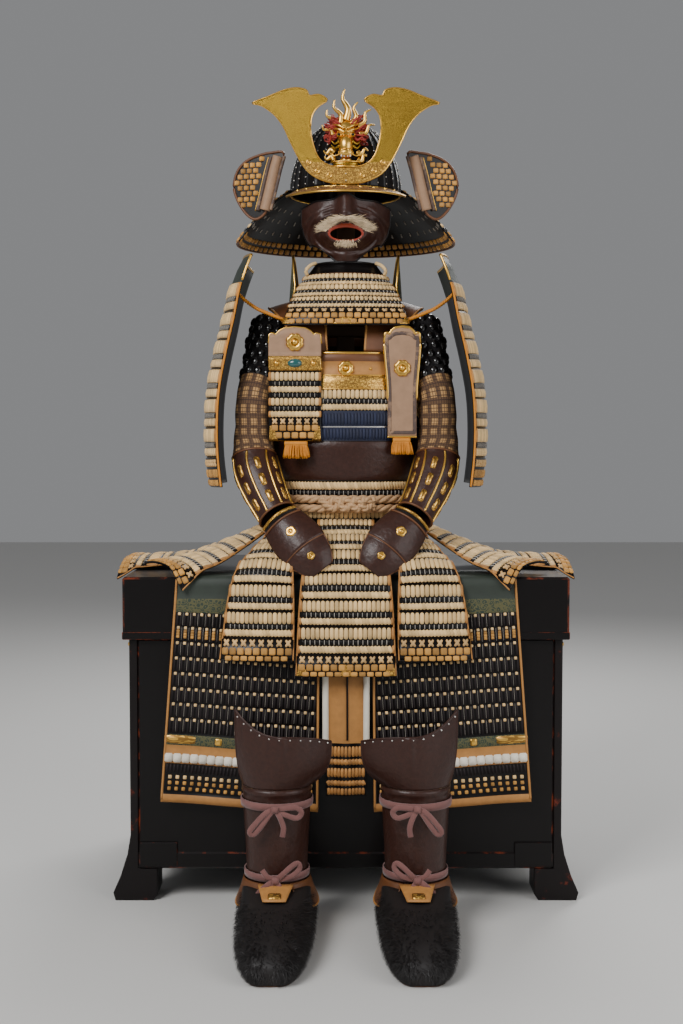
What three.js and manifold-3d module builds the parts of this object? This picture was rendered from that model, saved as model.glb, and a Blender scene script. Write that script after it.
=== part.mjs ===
// A samurai armour seated on its lacquered armour chest, in millimetres.
// +X is the viewer's right, -Y faces the viewer and +Z is up; the floor is z = 0.
// Every worn piece is a thin hollow wall. Nobody wears it: a plain wooden stand carries it.
import * as THREE from "three";
import { mergeVertices } from "three/addons/utils/BufferGeometryUtils.js";
import Module from "manifold-3d";

const wasm = await Module();
wasm.setup();

// Driving dimensions
const GAP = 0.4; // clearance between neighbouring pieces
const CHEST = {
  half: 399, front: -50, back: 450, top: 589, edge: 8, lidDeep: 112, bodyHalf: 374, inset: 12, floorGap: 60,
};
const TORSO_Y = 150; // the torso's middle
const HEM_Z = 685; // the cuirass's lower edge
const CHEST_TOP_Z = 993; // the breast plate's upper edge
const BACK_TOP_Z = 1040; // the back plate's upper edge
const ARMHOLE_Z = 872; // the cuirass under the arm
const HELMET = { y: 181, rimZ: 1300, wide: 104, deep: 112, high: 138, thick: 3 };
const LEG = { x: 118, y: -178 }; // the middle of each shin, on the right of the middle line

// Colours
const COLOUR = {
  lacquer: [0x0d0b0c, 0.25, 0.1],
  wood: [0x6b4a2c, 0.8, 0],
  iron: [0x2f1e1c, 0.4, 0.35],
  gold: [0xb08a35, 0.35, 0.9],
  cream: [0xd9c69c, 0.85, 0],
  indigo: [0x161a2a, 0.8, 0],
  leather: [0x8a5a2b, 0.7, 0],
  cloth: [0x6e4b2d, 0.9, 0],
  fur: [0x120f0f, 0.95, 0],
  orange: [0xc46a16, 0.8, 0],
  velvet: [0x8f5a58, 0.9, 0],
  rope: [0xc9a97d, 0.85, 0],
};

const rad = (degrees) => (degrees * Math.PI) / 180;
const mix = (a, b, t) => a + (b - a) * t;
const clamp = (x, low, high) => Math.min(high, Math.max(low, x));
const smooth = (x) => x * x * (3 - 2 * x);
const ease = (x, low, high) => smooth(clamp((x - low) / (high - low), 0, 1));
const point = (x, y, z) => new THREE.Vector3(x, y, z);
const span = (count) => Array.from({ length: count + 1 }, (_, i) => i / count);

// Rows of numbers become rows with named columns
function table(names, rows) {
  const keys = names.split(" ");
  return rows.map((row) => Object.fromEntries(keys.map((key, i) => [key, row[i]])));
}

// A smooth line through a table's rows, read by its share of the length between them
function track(rows, by = ["x", "y", "z"]) {
  const keys = Object.keys(rows[0]);
  const length = [0];
  for (let i = 1; i < rows.length; i++) {
    length.push(length[i - 1] + Math.hypot(...by.map((key) => rows[i][key] - rows[i - 1][key])));
  }
  const total = length.at(-1);
  return (t) => {
    const s = clamp(t, 0, 1) * total;
    const i = clamp(length.findIndex((end) => end >= s) - 1, 0, rows.length - 2);
    const f = (s - length[i]) / (length[i + 1] - length[i]);
    const near = (k) => rows[clamp(i + k, 0, rows.length - 1)];
    const value = (key) => {
      const [a, b, c, d] = [-1, 0, 1, 2].map((k) => near(k)[key]);
      return b + 0.5 * f * (c - a + f * (2 * a - 5 * b + 4 * c - d + f * (3 * (b - c) + d - a)));
    };
    return Object.fromEntries(keys.map((key) => [key, value(key)]));
  };
}

// A table read by the height z instead
function byHeight(rows) {
  const line = track(rows, ["z"]);
  const [first, last] = [rows[0].z, rows.at(-1).z];
  return (z) => line((z - first) / (last - first));
}

// Outward normal of a surface by small differences
function normal(surface, u, v) {
  const e = 1e-3;
  const du = surface(u + e, v).sub(surface(u - e, v));
  const dv = surface(u, Math.min(1, v + e)).sub(surface(u, Math.max(0, v - e)));
  return dv.cross(du).normalize();
}

// Triangles between two lines of points that share their first and last ends
function zip(tris, a, b) {
  let [i, j] = [0, 0];
  while (i < a.length - 1 || j < b.length - 1) {
    const nextA = (i + 1) / (a.length - 1);
    const nextB = (j + 1) / (b.length - 1);
    const stepA = j === b.length - 1 || (i < a.length - 1 && nextA <= nextB);
    tris.push(stepA ? [a[i], a[i + 1], b[j]] : [a[i], b[j + 1], b[j]]);
    if (stepA) i++;
    else j++;
  }
}

// A closed wall from an outer and an inner grid of points
function wall(outer, inner, closed) {
  const points = [];
  const index = (grid) => grid.map((row) => row.map((p) => points.push(p) - 1));
  const [out, inn] = [index(outer), index(inner)];
  const width = out[0].length;
  const columns = closed ? width : width - 1;
  const tris = [];
  const skin = (grid, flip) => {
    for (let j = 0; j < grid.length - 1; j++) {
      for (let i = 0; i < columns; i++) {
        const [a, b] = [grid[j][i], grid[j][(i + 1) % width]];
        const [c, d] = [grid[j + 1][(i + 1) % width], grid[j + 1][i]];
        tris.push(flip ? [a, c, b] : [a, b, c], flip ? [a, d, c] : [a, c, d]);
      }
    }
  };
  skin(out, true);
  skin(inn, false);
  for (let i = 0; i < columns; i++) {
    const k = (i + 1) % width;
    const [top, bottom] = [out.length - 1, inn.length - 1];
    tris.push([out[0][i], out[0][k], inn[0][k]], [out[0][i], inn[0][k], inn[0][i]]);
    tris.push([out[top][k], out[top][i], inn[bottom][i]], [out[top][k], inn[bottom][i], inn[bottom][k]]);
  }
  if (!closed) {
    const edge = (i) => {
      const strip = [];
      zip(strip, out.map((row) => row[i]), inn.map((row) => row[i]));
      return strip;
    };
    tris.push(...edge(width - 1), ...edge(0).map(([a, b, c]) => [a, c, b]));
  }
  return shape(points, tris);
}

// A geometry whose faces point out
function shape(points, tris) {
  let volume = 0;
  for (const [a, b, c] of tris) {
    volume += points[a].dot(points[b].clone().cross(points[c]));
  }
  const faces = volume < 0 ? tris.map(([a, b, c]) => [a, c, b]) : tris;
  const geometry = new THREE.BufferGeometry();
  geometry.setAttribute("position", new THREE.Float32BufferAttribute(points.flatMap((p) => p.toArray()), 3));
  geometry.setIndex(faces.flat());
  geometry.computeVertexNormals();
  return geometry;
}

// A wall on a surface: rows list the outer skin's share of the height and how far it stands out
function shell(surface, { across, rows, inside = 6, thick = 2.4, closed = false }) {
  const us = closed ? span(across).slice(0, -1) : span(across).map((s) => s * 2 - 1);
  const at = (u, v, out) => surface(u, v).addScaledVector(normal(surface, u, v), out);
  const outer = rows.map(({ v, lift }) => us.map((u) => at(u, v, thick / 2 + lift)));
  const levels = Array.isArray(inside) ? inside : span(inside);
  const inner = levels.map((v) => us.map((u) => at(u, v, -thick / 2)));
  return wall(outer, inner, closed);
}

// Rows for overlapping lames: each one's upper edge stands over the lame above it
function lames(count, from = 0, to = 1, high = 4, low = 0.8) {
  const rows = [];
  for (let i = 0; i < count; i++) {
    rows.push({ v: mix(from, to, i / count), lift: high });
    rows.push({ v: mix(from, to, (i + 1) / count), lift: low });
  }
  return rows;
}

const plain = (count, lift = 0) => span(count).map((v) => ({ v, lift }));

// A panel along a track: half is half its width, bulge its swell, and yaw and slope turn the line across it
function panel(rows, bend = (p) => p) {
  const line = track(rows);
  return (u, v) => {
    const s = line(v);
    const [a, b] = [line(Math.max(0, v - 0.01)), line(Math.min(1, v + 0.01))];
    const down = point(b.x - a.x, b.y - a.y, b.z - a.z);
    const flat = Math.cos(rad(s.slope));
    const over = point(Math.cos(rad(s.yaw)) * flat, Math.sin(rad(s.yaw)) * flat, Math.sin(rad(s.slope)));
    const out = down.cross(over).normalize();
    const p = point(s.x, s.y, s.z).addScaledVector(over, s.half * u);
    return bend(p.addScaledVector(out, s.bulge * (1 - u * u)));
  };
}

// A tube along a track, with its section square to the line
function tube(rows) {
  const line = track(rows);
  return (u, v) => {
    const s = line(v);
    const [a, b] = [line(Math.max(0, v - 0.01)), line(Math.min(1, v + 0.01))];
    const down = point(b.x - a.x, b.y - a.y, b.z - a.z).normalize();
    const side = point(0, 1, 0).cross(down).normalize();
    const fore = down.clone().cross(side);
    const turn = -u * 2 * Math.PI;
    return point(s.x, s.y, s.z)
      .addScaledVector(side, s.wide * Math.cos(turn))
      .addScaledVector(fore, s.deep * Math.sin(turn));
  };
}

// A geometry's corners and triangles, with the corners that coincide merged
function parts(geometry) {
  const bare = geometry.clone();
  bare.deleteAttribute("normal");
  bare.deleteAttribute("uv");
  const merged = mergeVertices(bare, 1e-3);
  const at = merged.attributes.position;
  const points = span(at.count - 1).map((_, i) => point(at.getX(i), at.getY(i), at.getZ(i)));
  const index = [...merged.index.array];
  const tris = span(index.length / 3 - 1).map((_, i) => index.slice(3 * i, 3 * i + 3));
  return { points, tris: tris.filter(([a, b, c]) => a !== b && b !== c && c !== a) };
}

function mirrored(geometry) {
  const { points, tris } = parts(geometry);
  return shape(points.map((p) => point(-p.x, p.y, p.z)), tris);
}

// Joining and cutting
function toSolid(geometry) {
  const { points, tris } = parts(geometry);
  const vertProperties = new Float32Array(points.flatMap((p) => p.toArray()));
  const triVerts = new Uint32Array(tris.flat());
  return new wasm.Manifold(new wasm.Mesh({ numProp: 3, vertProperties, triVerts }));
}

function fromSolid(solid) {
  const mesh = solid.getMesh();
  const geometry = new THREE.BufferGeometry();
  geometry.setAttribute("position", new THREE.BufferAttribute(new Float32Array(mesh.vertProperties), 3));
  geometry.setIndex([...mesh.triVerts]);
  geometry.computeVertexNormals();
  return geometry;
}

const joined = (...pieces) => fromSolid(pieces.map(toSolid).reduce((a, b) => a.add(b)));
const cut = (piece, ...tools) => fromSolid(tools.map(toSolid).reduce((a, b) => a.subtract(b), toSolid(piece)));

function box(x0, x1, y0, y1, z0, z1) {
  const solid = new THREE.BoxGeometry(x1 - x0, y1 - y0, z1 - z0);
  return solid.translate((x0 + x1) / 2, (y0 + y1) / 2, (z0 + z1) / 2);
}

// An outline in the XZ plane, made as thick as y0 to y1
function plate(corners, y0, y1) {
  const outline = new THREE.Shape(corners.map(([x, z]) => new THREE.Vector2(x, z)));
  const geometry = new THREE.ExtrudeGeometry(outline, { depth: y1 - y0, bevelEnabled: false });
  return geometry.rotateX(Math.PI / 2).translate(0, y1, 0);
}

const model = new THREE.Group();

function add(name, geometry, colour) {
  const [hex, roughness, metalness] = COLOUR[colour];
  const mesh = new THREE.Mesh(geometry, new THREE.MeshStandardMaterial({ color: hex, roughness, metalness }));
  mesh.name = name;
  model.add(mesh);
}

// The same piece on the viewer's left and, mirrored, on the right
function pair(name, geometry, colour) {
  add(`${name}_left`, geometry, colour);
  add(`${name}_right`, mirrored(geometry), colour);
}

// Armour chest: lid, body and four legs that flare at the foot
const BODY_FRONT = CHEST.front + CHEST.inset;
const BODY_BACK = CHEST.back - CHEST.inset;
const LID_Z = CHEST.top - CHEST.lidDeep;
function lid() {
  const ring = (z, inset) => {
    const [x, front, back] = [CHEST.half - inset, CHEST.front + inset, CHEST.back - inset];
    return [point(-x, front, z), point(x, front, z), point(x, back, z), point(-x, back, z)];
  };
  const points = [...ring(LID_Z, 0), ...ring(CHEST.top - CHEST.edge, 0), ...ring(CHEST.top, CHEST.edge)];
  const tris = [[0, 2, 1], [0, 3, 2], [8, 9, 10], [8, 10, 11]];
  for (const base of [0, 4]) {
    for (let i = 0; i < 4; i++) {
      const [a, b] = [base + i, base + ((i + 1) % 4)];
      tris.push([a, b, b + 4], [a, b + 4, a + 4]);
    }
  }
  return shape(points, tris);
}
add("chest_lid", lid(), "lacquer");
const chestBody = box(-CHEST.bodyHalf, CHEST.bodyHalf, BODY_FRONT, BODY_BACK, CHEST.floorGap, LID_Z - GAP);
add("chest_body", chestBody, "lacquer");
const FOOT = { thick: 15, flare: 47, reach: 34, deep: 70, ankle: 120 };
const legIn = -CHEST.bodyHalf - GAP;
const legOut = legIn - FOOT.thick;
const legTop = LID_Z - GAP;
const legUnder = CHEST.floorGap - GAP;
const legOutline = [
  [legIn, legTop], [legOut, legTop], [legOut, FOOT.ankle], [legOut - 6, 84], [legOut - 18, 46],
  [legIn - FOOT.flare, 14], [legIn - FOOT.flare + 4, 0], [legIn + FOOT.reach - 8, 0], [legIn + FOOT.reach, 12],
  [legIn + FOOT.reach, legUnder], [legIn, legUnder],
];
const legBackY = BODY_BACK - FOOT.deep;
for (const [end, y] of [["front", BODY_FRONT], ["back", legBackY]]) {
  pair(`chest_leg_${end}`, plate(legOutline, y + 1, y + FOOT.deep - 1), "lacquer");
}

// Anything that lies on the lid bends down over its front and side edges
const BEND = CHEST.edge;
function over(distance, height, steep) {
  const radius = BEND + Math.max(0, height);
  if (distance <= 0) return { out: distance, drop: 0 };
  const turn = Math.min(distance / radius, steep);
  const rest = distance - turn * radius;
  return {
    out: radius * Math.sin(turn) + rest * Math.cos(turn),
    drop: radius * (1 - Math.cos(turn)) + rest * Math.sin(turn),
  };
}
function drape(p, steep = 1.1) {
  const height = p.z - CHEST.top;
  const fore = over(CHEST.front + BEND - p.y, height, steep);
  const side = over(Math.abs(p.x) - CHEST.half + BEND, height, 0.75);
  if (fore.drop > 0) p.y = CHEST.front + BEND - fore.out;
  if (side.drop > 0) p.x = Math.sign(p.x) * (CHEST.half - BEND + side.out);
  p.z -= fore.drop + side.drop;
  return p;
}

// Cuirass: an oval wall in two halves, laced at the sides
const TORSO = byHeight(table("z a front back", [
  [660, 140, 112, 105], [700, 138, 110, 103], [745, 140, 111, 105], [800, 150, 117, 112],
  [870, 158, 121, 118], [940, 150, 119, 117], [1000, 137, 112, 110], [1050, 126, 102, 104],
]));
function torso(turn, z) {
  const { a, front, back } = TORSO(z);
  const deep = Math.cos(turn) > 0 ? front : back;
  return point(a * Math.sin(turn), TORSO_Y - deep * Math.cos(turn), z);
}
function cuirassTop(turn) {
  const angle = Math.abs(turn);
  const front = mix(CHEST_TOP_Z, ARMHOLE_Z, ease(angle, rad(46), rad(70)));
  const back = mix(ARMHOLE_Z, BACK_TOP_Z, ease(angle, rad(98), rad(122)));
  return angle < Math.PI / 2 ? front : back;
}
// Bands of the front, by height; those above the armhole shrink with the upper edge
const FRONT_BANDS = table("z lift", [
  [993, 2], [976, 2], [975, 0.5], [951, 0.5], [950, 2], [926, 2], [925, 3], [906, 1], [904, 3], [886, 1],
  [884, 1.6], [858, 1.6], [856, 0.6], [832, 0.6], [830, 2.6], [760, 2.6], [758, 1], [756, 3], [736, 1], [685, 0.6],
]);
const BACK_BANDS = table("z lift", [
  [1040, 1.5], [1018, 1.5], [1017, 3], [975, 1], [974, 3], [930, 1], [929, 3], [886, 1],
  [884, 1], [832, 1], [830, 2.6], [760, 2.6], [758, 1], [756, 3], [736, 1], [685, 0.6],
]);
function cuirassHalf(bands, middle) {
  const top = bands[0].z;
  const level = (turn, z) => (z <= 865 ? z : 865 + ((z - 865) * (cuirassTop(turn) - 865)) / (top - 865));
  const surface = (u, v) => {
    const turn = rad(middle + 89.85 * u);
    const wrapped = turn > Math.PI ? turn - 2 * Math.PI : turn;
    return torso(turn, level(wrapped, mix(top, HEM_Z, v)));
  };
  const rows = bands.map(({ z, lift }) => ({ v: (top - z) / (top - HEM_Z), lift }));
  return shell(surface, { across: 12, rows, inside: 5, thick: 2.4 });
}
add("cuirass_front", cuirassHalf(FRONT_BANDS, 0), "iron");
add("cuirass_back", cuirassHalf(BACK_BANDS, 180), "iron");

// Shoulder straps, which widen into a leather wing over the shoulder
const strap = panel(table("x y z half bulge yaw slope", [
  [-62, 48, 994.8, 28, 0, 180, 0], [-70, 58, 1030, 34, 0, 180, 0], [-84, 90, 1070, 46, 2, 180, -6],
  [-92, 140, 1092, 56, 3, 180, -12], [-90, 188, 1090, 52, 3, 180, -12], [-80, 226, 1070, 42, 2, 180, -6],
  [-74, 250, 1042.4, 32, 0, 180, 0],
]));
pair("shoulder_strap", shell(strap, { across: 4, rows: plain(9), inside: 9, thick: 4 }), "leather");

// Standing collar plates on the straps
function collarPlate() {
  const seat = (s) => {
    const v = mix(0.42, 0.78, s);
    return strap(0.12, v).addScaledVector(normal(strap, 0.12, v), 1.4 + GAP);
  };
  const surface = (u, v) => {
    const s = (u + 1) / 2;
    const rise = 12 + 74 * Math.sqrt(Math.max(0, 1 - u * u * 0.96));
    return seat(s).add(point(-6 * v, 0, rise * (1 - v)));
  };
  const skin = (side) => span(2).map((v) => span(9).map((s) => surface(s * 2 - 1, v).add(point(side, 0, 0))));
  return wall(skin(-1.5), skin(1.5), false);
}
pair("collar_plate", collarPlate(), "gold");

// Tassets: laced panels that hang from the cuirass's hem
const TASSETS = {
  front: table("x y z half bulge yaw slope", [
    [-94, 67, 682, 27, 2, -40, 0], [-114, 28, 660, 33, 4, -36, 0], [-130, -20, 634, 41, 6, -26, 0],
    [-144, -58, 602, 51, 8, -12, 0], [-150, -72, 556, 58, 9, -8, 0], [-154, -76, 500, 62, 9, -6, 0],
    [-158, -81, 444, 65, 8, -5, 0],
  ]),
  side_front: table("x y z half bulge yaw slope", [
    [-133, 106, 681, 28, 2, -68, 0], [-166, 92, 660, 38, 4, -66, 0], [-210, 66, 636, 48, 8, -64, -3],
    [-255, 28, 614.8, 57, 10, -60, -4], [-295, -2, 605, 62, 11, -56, -5], [-330, -26, 600, 66, 10, -53, -6],
  ]),
  side_rear: table("x y z half bulge yaw slope", [
    [-140, 184, 681, 30, 2, -102, 0], [-175, 184, 655, 40, 5, -100, 0], [-228, 182, 628, 50, 10, -98, 0],
    [-290, 172, 603, 58, 14, -97, 0], [-350, 160, 595.2, 64, 17, -97, 0],
    [-392, 152, 593.4, 66, 18, -98, 0], [-428, 146, 600, 68, 18, -98, 0],
  ]),
  back: table("x y z half bulge yaw slope", [
    [-62, 249, 681, 34, 2, -154, 0], [-72, 282, 656, 42, 4, -160, 0], [-82, 324, 630, 50, 6, -166, 0],
    [-90, 366, 603, 58, 8, -172, 0], [-94, 406, 594, 64, 9, -176, 0], [-96, 440, 590.8, 66, 9, -178, 0],
  ]),
};
for (const [place, rows] of Object.entries(TASSETS)) {
  const bend = place === "front" ? undefined : (p) => drape(p);
  const grid = { across: 6, rows: lames(5, 0, 1, 4, 0.8), inside: place === "front" ? 7 : 9, thick: 2.4 };
  pair(`tasset_${place}`, shell(panel(rows, bend), grid), "cream");
}
const centreTasset = panel(table("x y z half bulge yaw slope", [
  [0, 38, 683, 50, 1, 0, 0], [0, 6, 661, 58, 3, 0, 0], [0, -34, 636, 68, 4, 0, 0], [0, -64, 603, 76, 6, 0, 0],
  [0, -76, 556, 81, 7, 0, 0], [0, -80, 490, 85, 7, 0, 0], [0, -84, 417, 88, 6, 0, 0],
]));
const centreGrid = { across: 8, rows: lames(6, 0, 1, 4, 0.8), inside: 7, thick: 2.4 };
add("tasset_front_centre", shell(centreTasset, centreGrid), "cream");

// Rope belt: two turns side by side round the waist, knotted in front
const ROPE = { r: 8, upper: 724, lower: 707, seat: 2.7 };
function beltSection(turn, part) {
  const angle = part * 2 * Math.PI;
  const z = Math.sin(angle) * (ROPE.r + (ROPE.upper - ROPE.lower) / 2);
  const waist = 1 - 0.22 * Math.exp(-((z / 4) ** 2));
  const out = ROPE.seat + ROPE.r + ROPE.r * Math.cos(angle) * waist;
  const middle = (ROPE.upper + ROPE.lower) / 2;
  const at = torso(turn, middle);
  return point(at.x + Math.sin(turn) * out, at.y - Math.cos(turn) * out, middle + z);
}
function ringOf(section, around, sides) {
  const points = [];
  const tris = [];
  for (let i = 0; i < around; i++) {
    for (let j = 0; j < sides; j++) points.push(section((i / around) * 2 * Math.PI, j / sides));
  }
  const at = (i, j) => (i % around) * sides + (j % sides);
  for (let i = 0; i < around; i++) {
    for (let j = 0; j < sides; j++) {
      tris.push([at(i, j), at(i + 1, j), at(i + 1, j + 1)], [at(i, j), at(i + 1, j + 1), at(i, j + 1)]);
    }
  }
  return shape(points, tris);
}
const knot = new THREE.SphereGeometry(1, 8, 5).scale(34, 12, 17).translate(4, 25, 716);
const belt = ringOf(beltSection, 24, 8);
const WAIST = { z: 715, room: 2.6, high: 80 };
const waist = TORSO(WAIST.z);
const waistRoom = new THREE.CylinderGeometry(1, 1, WAIST.high, 48).rotateX(Math.PI / 2)
  .scale(waist.a + WAIST.room, waist.front + WAIST.room, 1).translate(0, TORSO_Y, WAIST.z);
add("rope_belt", cut(joined(belt, knot), waistRoom), "rope");

// Two plates that hang from the shoulders to guard the chest laces
function frontMost(x0, x1, z0, z1, proud) {
  let y = Infinity;
  for (const sx of span(12)) {
    for (const sz of span(24)) {
      const z = mix(z0, z1, sz);
      const turn = Math.asin(clamp(mix(x0, x1, sx) / TORSO(z).a, -1, 1));
      if (z <= cuirassTop(turn)) y = Math.min(y, torso(turn, z).y - proud);
    }
  }
  return y;
}
const LACED_PLATE = { x: -93, half: 48, top: 1038, low: 832, thick: 3, lift: 3 };
const SMOOTH_PLATE = { x: 103, half: 33, top: 1040, low: 838, thick: 3 };
const lacedY = frontMost(-141, -45, LACED_PLATE.low, 990, 3.3) - GAP;
const smoothY = frontMost(70, 136, SMOOTH_PLATE.low, 990, 1.1) - GAP;
function notchedTop(x, half, top) {
  const edge = table("share drop", [
    [1, 30], [0.97, 13], [0.82, 11], [0.72, 14], [0.6, 7], [0.4, 2], [0, 0],
  ]);
  const right = edge.map(({ share, drop }) => [x + half * share, top - drop]);
  const left = edge.slice(0, -1).reverse().map(({ share, drop }) => [x - half * share, top - drop]);
  return [...right, ...left];
}
const lacedOutline = [
  [LACED_PLATE.x + LACED_PLATE.half, LACED_PLATE.low],
  ...notchedTop(LACED_PLATE.x, LACED_PLATE.half, LACED_PLATE.top),
  [LACED_PLATE.x - LACED_PLATE.half, LACED_PLATE.low],
];
add("chest_plate_laced", plate(lacedOutline, lacedY - LACED_PLATE.thick - LACED_PLATE.lift, lacedY), "cream");
const smoothOutline = [
  [SMOOTH_PLATE.x + 26, SMOOTH_PLATE.low], [SMOOTH_PLATE.x + 27, 900],
  ...notchedTop(SMOOTH_PLATE.x, SMOOTH_PLATE.half, SMOOTH_PLATE.top), [SMOOTH_PLATE.x - 27, 900],
  [SMOOTH_PLATE.x - 26, SMOOTH_PLATE.low],
];
add("chest_plate_smooth", plate(smoothOutline, smoothY - SMOOTH_PLATE.thick, smoothY), "leather");

// Tassels under the plates: strands whose roots are fused into a flat head
function tassel(x, y, top, half, long) {
  const strands = 11;
  const head = box(x - half, x + half, y - 5, y + 3, top - 9, top);
  const pieces = [head];
  for (let row = 0; row < 2; row++) {
    for (let i = 0; i < strands; i++) {
      const share = (i + 0.5 + 0.3 * row) / (strands + 0.3) * 2 - 1;
      const drop = long * (0.9 + 0.1 * Math.cos(5 * i + 2 * row));
      const strand = new THREE.CylinderGeometry(1.5, 1.1, drop, 3).translate(0, -drop / 2, 0);
      strand.rotateX(Math.PI / 2).rotateY(-share * 0.16);
      pieces.push(strand.translate(x + share * (half - 2), y - 2.6 + row * 3.4, top - 7));
    }
  }
  return joined(...pieces);
}
add("tassel_left", tassel(-91, lacedY - 3, LACED_PLATE.low - GAP, 21, 33), "orange");
add("tassel_right", tassel(102, smoothY - 1, SMOOTH_PLATE.low - GAP, 16, 32), "orange");

// Armoured sleeves: a cloth tube with mail, a plated forearm and a two-plate hand guard
const ARM = tube(table("x y z wide deep", [
  [-140, 130, 1047.9, 34, 38], [-148, 112, 1018, 36, 38], [-155, 88, 970, 35, 35], [-168, 62, 910, 33, 33],
  [-170, 60, 850, 34, 34], [-170, 57, 820, 37, 37], [-168, 48, 795, 39, 39], [-161, 32, 770, 40, 40],
  [-147, 11, 738, 37, 37], [-131, -8, 708, 33, 33], [-124, -15, 697, 33, 33],
]));
const ELBOW = 0.66;
const sleeve = (u, v) => ARM(u, v * ELBOW);
const forearm = (u, v) => ARM(u, mix(ELBOW + 0.0015, 1, v));
pair("sleeve", shell(sleeve, { across: 12, rows: plain(7), inside: 5, thick: 2, closed: true }), "cloth");
const forearmGrid = { across: 12, rows: plain(4, 0.4), inside: 4, thick: 2.6, closed: true };
pair("forearm", shell(forearm, forearmGrid), "iron");
const hand = panel(table("x y z half bulge yaw slope", [
  [-119, -24.3, 692, 34, 19, 8, 36], [-102, -37.3, 672, 40, 18, 8, 36], [-84, -50.3, 652, 43, 17, 8, 37],
  [-68, -61.3, 634, 41, 15, 8, 38], [-52, -68.3, 616, 32, 11, 8, 38], [-42, -71.3, 603, 22, 7, 8, 38],
]));
const handRows = [
  { v: 0, lift: 0 }, { v: 0.15, lift: 1 }, { v: 0.16, lift: 3 }, { v: 0.4, lift: 4 }, { v: 0.6, lift: 3 },
  { v: 0.605, lift: 0.5 }, { v: 0.8, lift: 1.5 }, { v: 1, lift: 0.5 },
];
pair("hand_guard", shell(hand, { across: 9, rows: handRows, inside: 5, thick: 2.4 }), "iron");

// Shoulder guards: a cap board and seven laced lames
const shoulderGuard = panel(table("x y z half bulge yaw slope", [
  [-176, 138, 1166, 132, 16, -87, 0], [-186, 138, 1140, 140, 20, -87, 0], [-197, 138, 1104, 142, 22, -87, 0],
  [-208, 138, 1050, 144, 24, -87, 0], [-222, 138, 990, 146, 25, -87, 0], [-234, 138, 925, 148, 26, -87, 0],
  [-238, 138, 865, 149, 26, -87, 0], [-237, 138, 805, 150, 26, -87, 0], [-231, 138, 748, 150, 25, -87, 0],
]));
const guardRows = [{ v: 0, lift: 1 }, { v: 0.12, lift: 0.5 }, ...lames(7, 0.13, 1, 4, 0.8)];
pair("shoulder_guard", shell(shoulderGuard, { across: 6, rows: guardRows, inside: 6, thick: 2.6 }), "cream");

// Cords that tie the shoulder guards to the straps
function cordAlong(points, radius, sides, steps) {
  const section = new THREE.Shape();
  for (let i = 0; i < sides; i++) {
    const turn = (i / sides) * 2 * Math.PI;
    const [x, y] = [radius * Math.cos(turn), radius * Math.sin(turn)];
    if (i === 0) section.moveTo(x, y);
    else section.lineTo(x, y);
  }
  const path = new THREE.CatmullRomCurve3(points.map(([x, y, z]) => point(x, y, z)));
  return new THREE.ExtrudeGeometry(section, { steps, bevelEnabled: false, extrudePath: path });
}
const guardCord = [
  [-196.2, 60, 1118], [-196, 48, 1100], [-168, 42, 1076], [-142, 46, 1064], [-118, 54, 1055], [-100, 63.2, 1049],
];
pair("shoulder_cord", cordAlong(guardCord, 4, 8, 8), "orange");

// Thigh guards: a cloth apron with rows of plates, laid over the lid and hung down its front
const LIE = CHEST.top + 1.2 + 1.5 * GAP;
const APRON = { back: 60, turn: CHEST.front + BEND, arc: (Math.PI / 2) * (BEND + LIE - CHEST.top) };
function apron(length, centre, half) {
  return (u, v) => {
    const x = mix(centre[0], centre[1], v) + mix(half[0], half[1], v) * u;
    const p = drape(point(x, APRON.back - length * v, LIE), Math.PI / 2);
    const hang = clamp((CHEST.top - 30 - p.z) / 400, 0, 1);
    p.y -= 6 * hang + 3 * hang * (1 + Math.cos(u * 5));
    return p;
  };
}
const foldRows = (length) => [0, ...span(4).map((s) => (APRON.back - APRON.turn + APRON.arc * s) / length)];
const GUARD_LONG = 520;
const thighGuard = apron(GUARD_LONG, [-170, -191], [124, 141]);
const guardFold = foldRows(GUARD_LONG);
const thighRows = [
  ...guardFold.map((v) => ({ v, lift: 0 })), { v: 0.3, lift: 0 }, ...lames(7, 0.31, 0.78, 3.4, 0.8),
  ...table("v lift", [[0.785, 2], [0.86, 2], [0.865, 3.4], [1, 1]]),
];
const thighInside = [...guardFold, ...span(5).map((s) => mix(0.3, 1, s))];
pair("thigh_guard", shell(thighGuard, { across: 6, rows: thighRows, inside: thighInside }), "indigo");
const STRIP_LONG = 500;
const strip = apron(STRIP_LONG, [0, 0], [41, 41]);
const middleStrip = (u, v) => strip(u * (v > 0.815 ? 0.86 : 1), v);
const stripFold = foldRows(STRIP_LONG);
const stripRows = [...stripFold.map((v) => ({ v, lift: 0 })), { v: 0.6, lift: 0 }, { v: 0.61, lift: 2 },
  { v: 0.812, lift: 1 }, { v: 0.82, lift: 1 }, { v: 1, lift: 1 }];
const stripInside = [...stripFold, 0.6, 0.812, 0.82, 1];
add("thigh_middle_strip", shell(middleStrip, { across: 4, rows: stripRows, inside: stripInside }), "leather");

// Legs: a shin guard open at the back, a knee plate above it and a bear-fur boot round its foot
const SHIN = { x: -LEG.x, y: LEG.y, low: 56, top: 250, sweep: rad(112) };
const SHIN_SIZE = byHeight(table("z wide deep", [
  [40, 50, 50], [90, 50, 50], [150, 52, 53], [200, 55, 55], [250, 57, 55],
]));
function shinAt(turn, z, out = 0) {
  const { wide, deep } = SHIN_SIZE(z);
  return point(SHIN.x - (wide + out) * Math.sin(turn), SHIN.y - (deep + out) * Math.cos(turn), z);
}
const shin = (u, v) => shinAt(-u * SHIN.sweep, mix(SHIN.top - 3 * GAP, SHIN.low, v), -2 * GAP);
const shinRows = table("v lift", [[0, 2], [0.06, 2], [0.065, 0.4], [0.7, 0.4], [0.93, 0.4], [0.935, 2], [1, 2]]);
pair("shin_guard", shell(shin, { across: 14, rows: shinRows, inside: 3 }), "iron");
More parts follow.
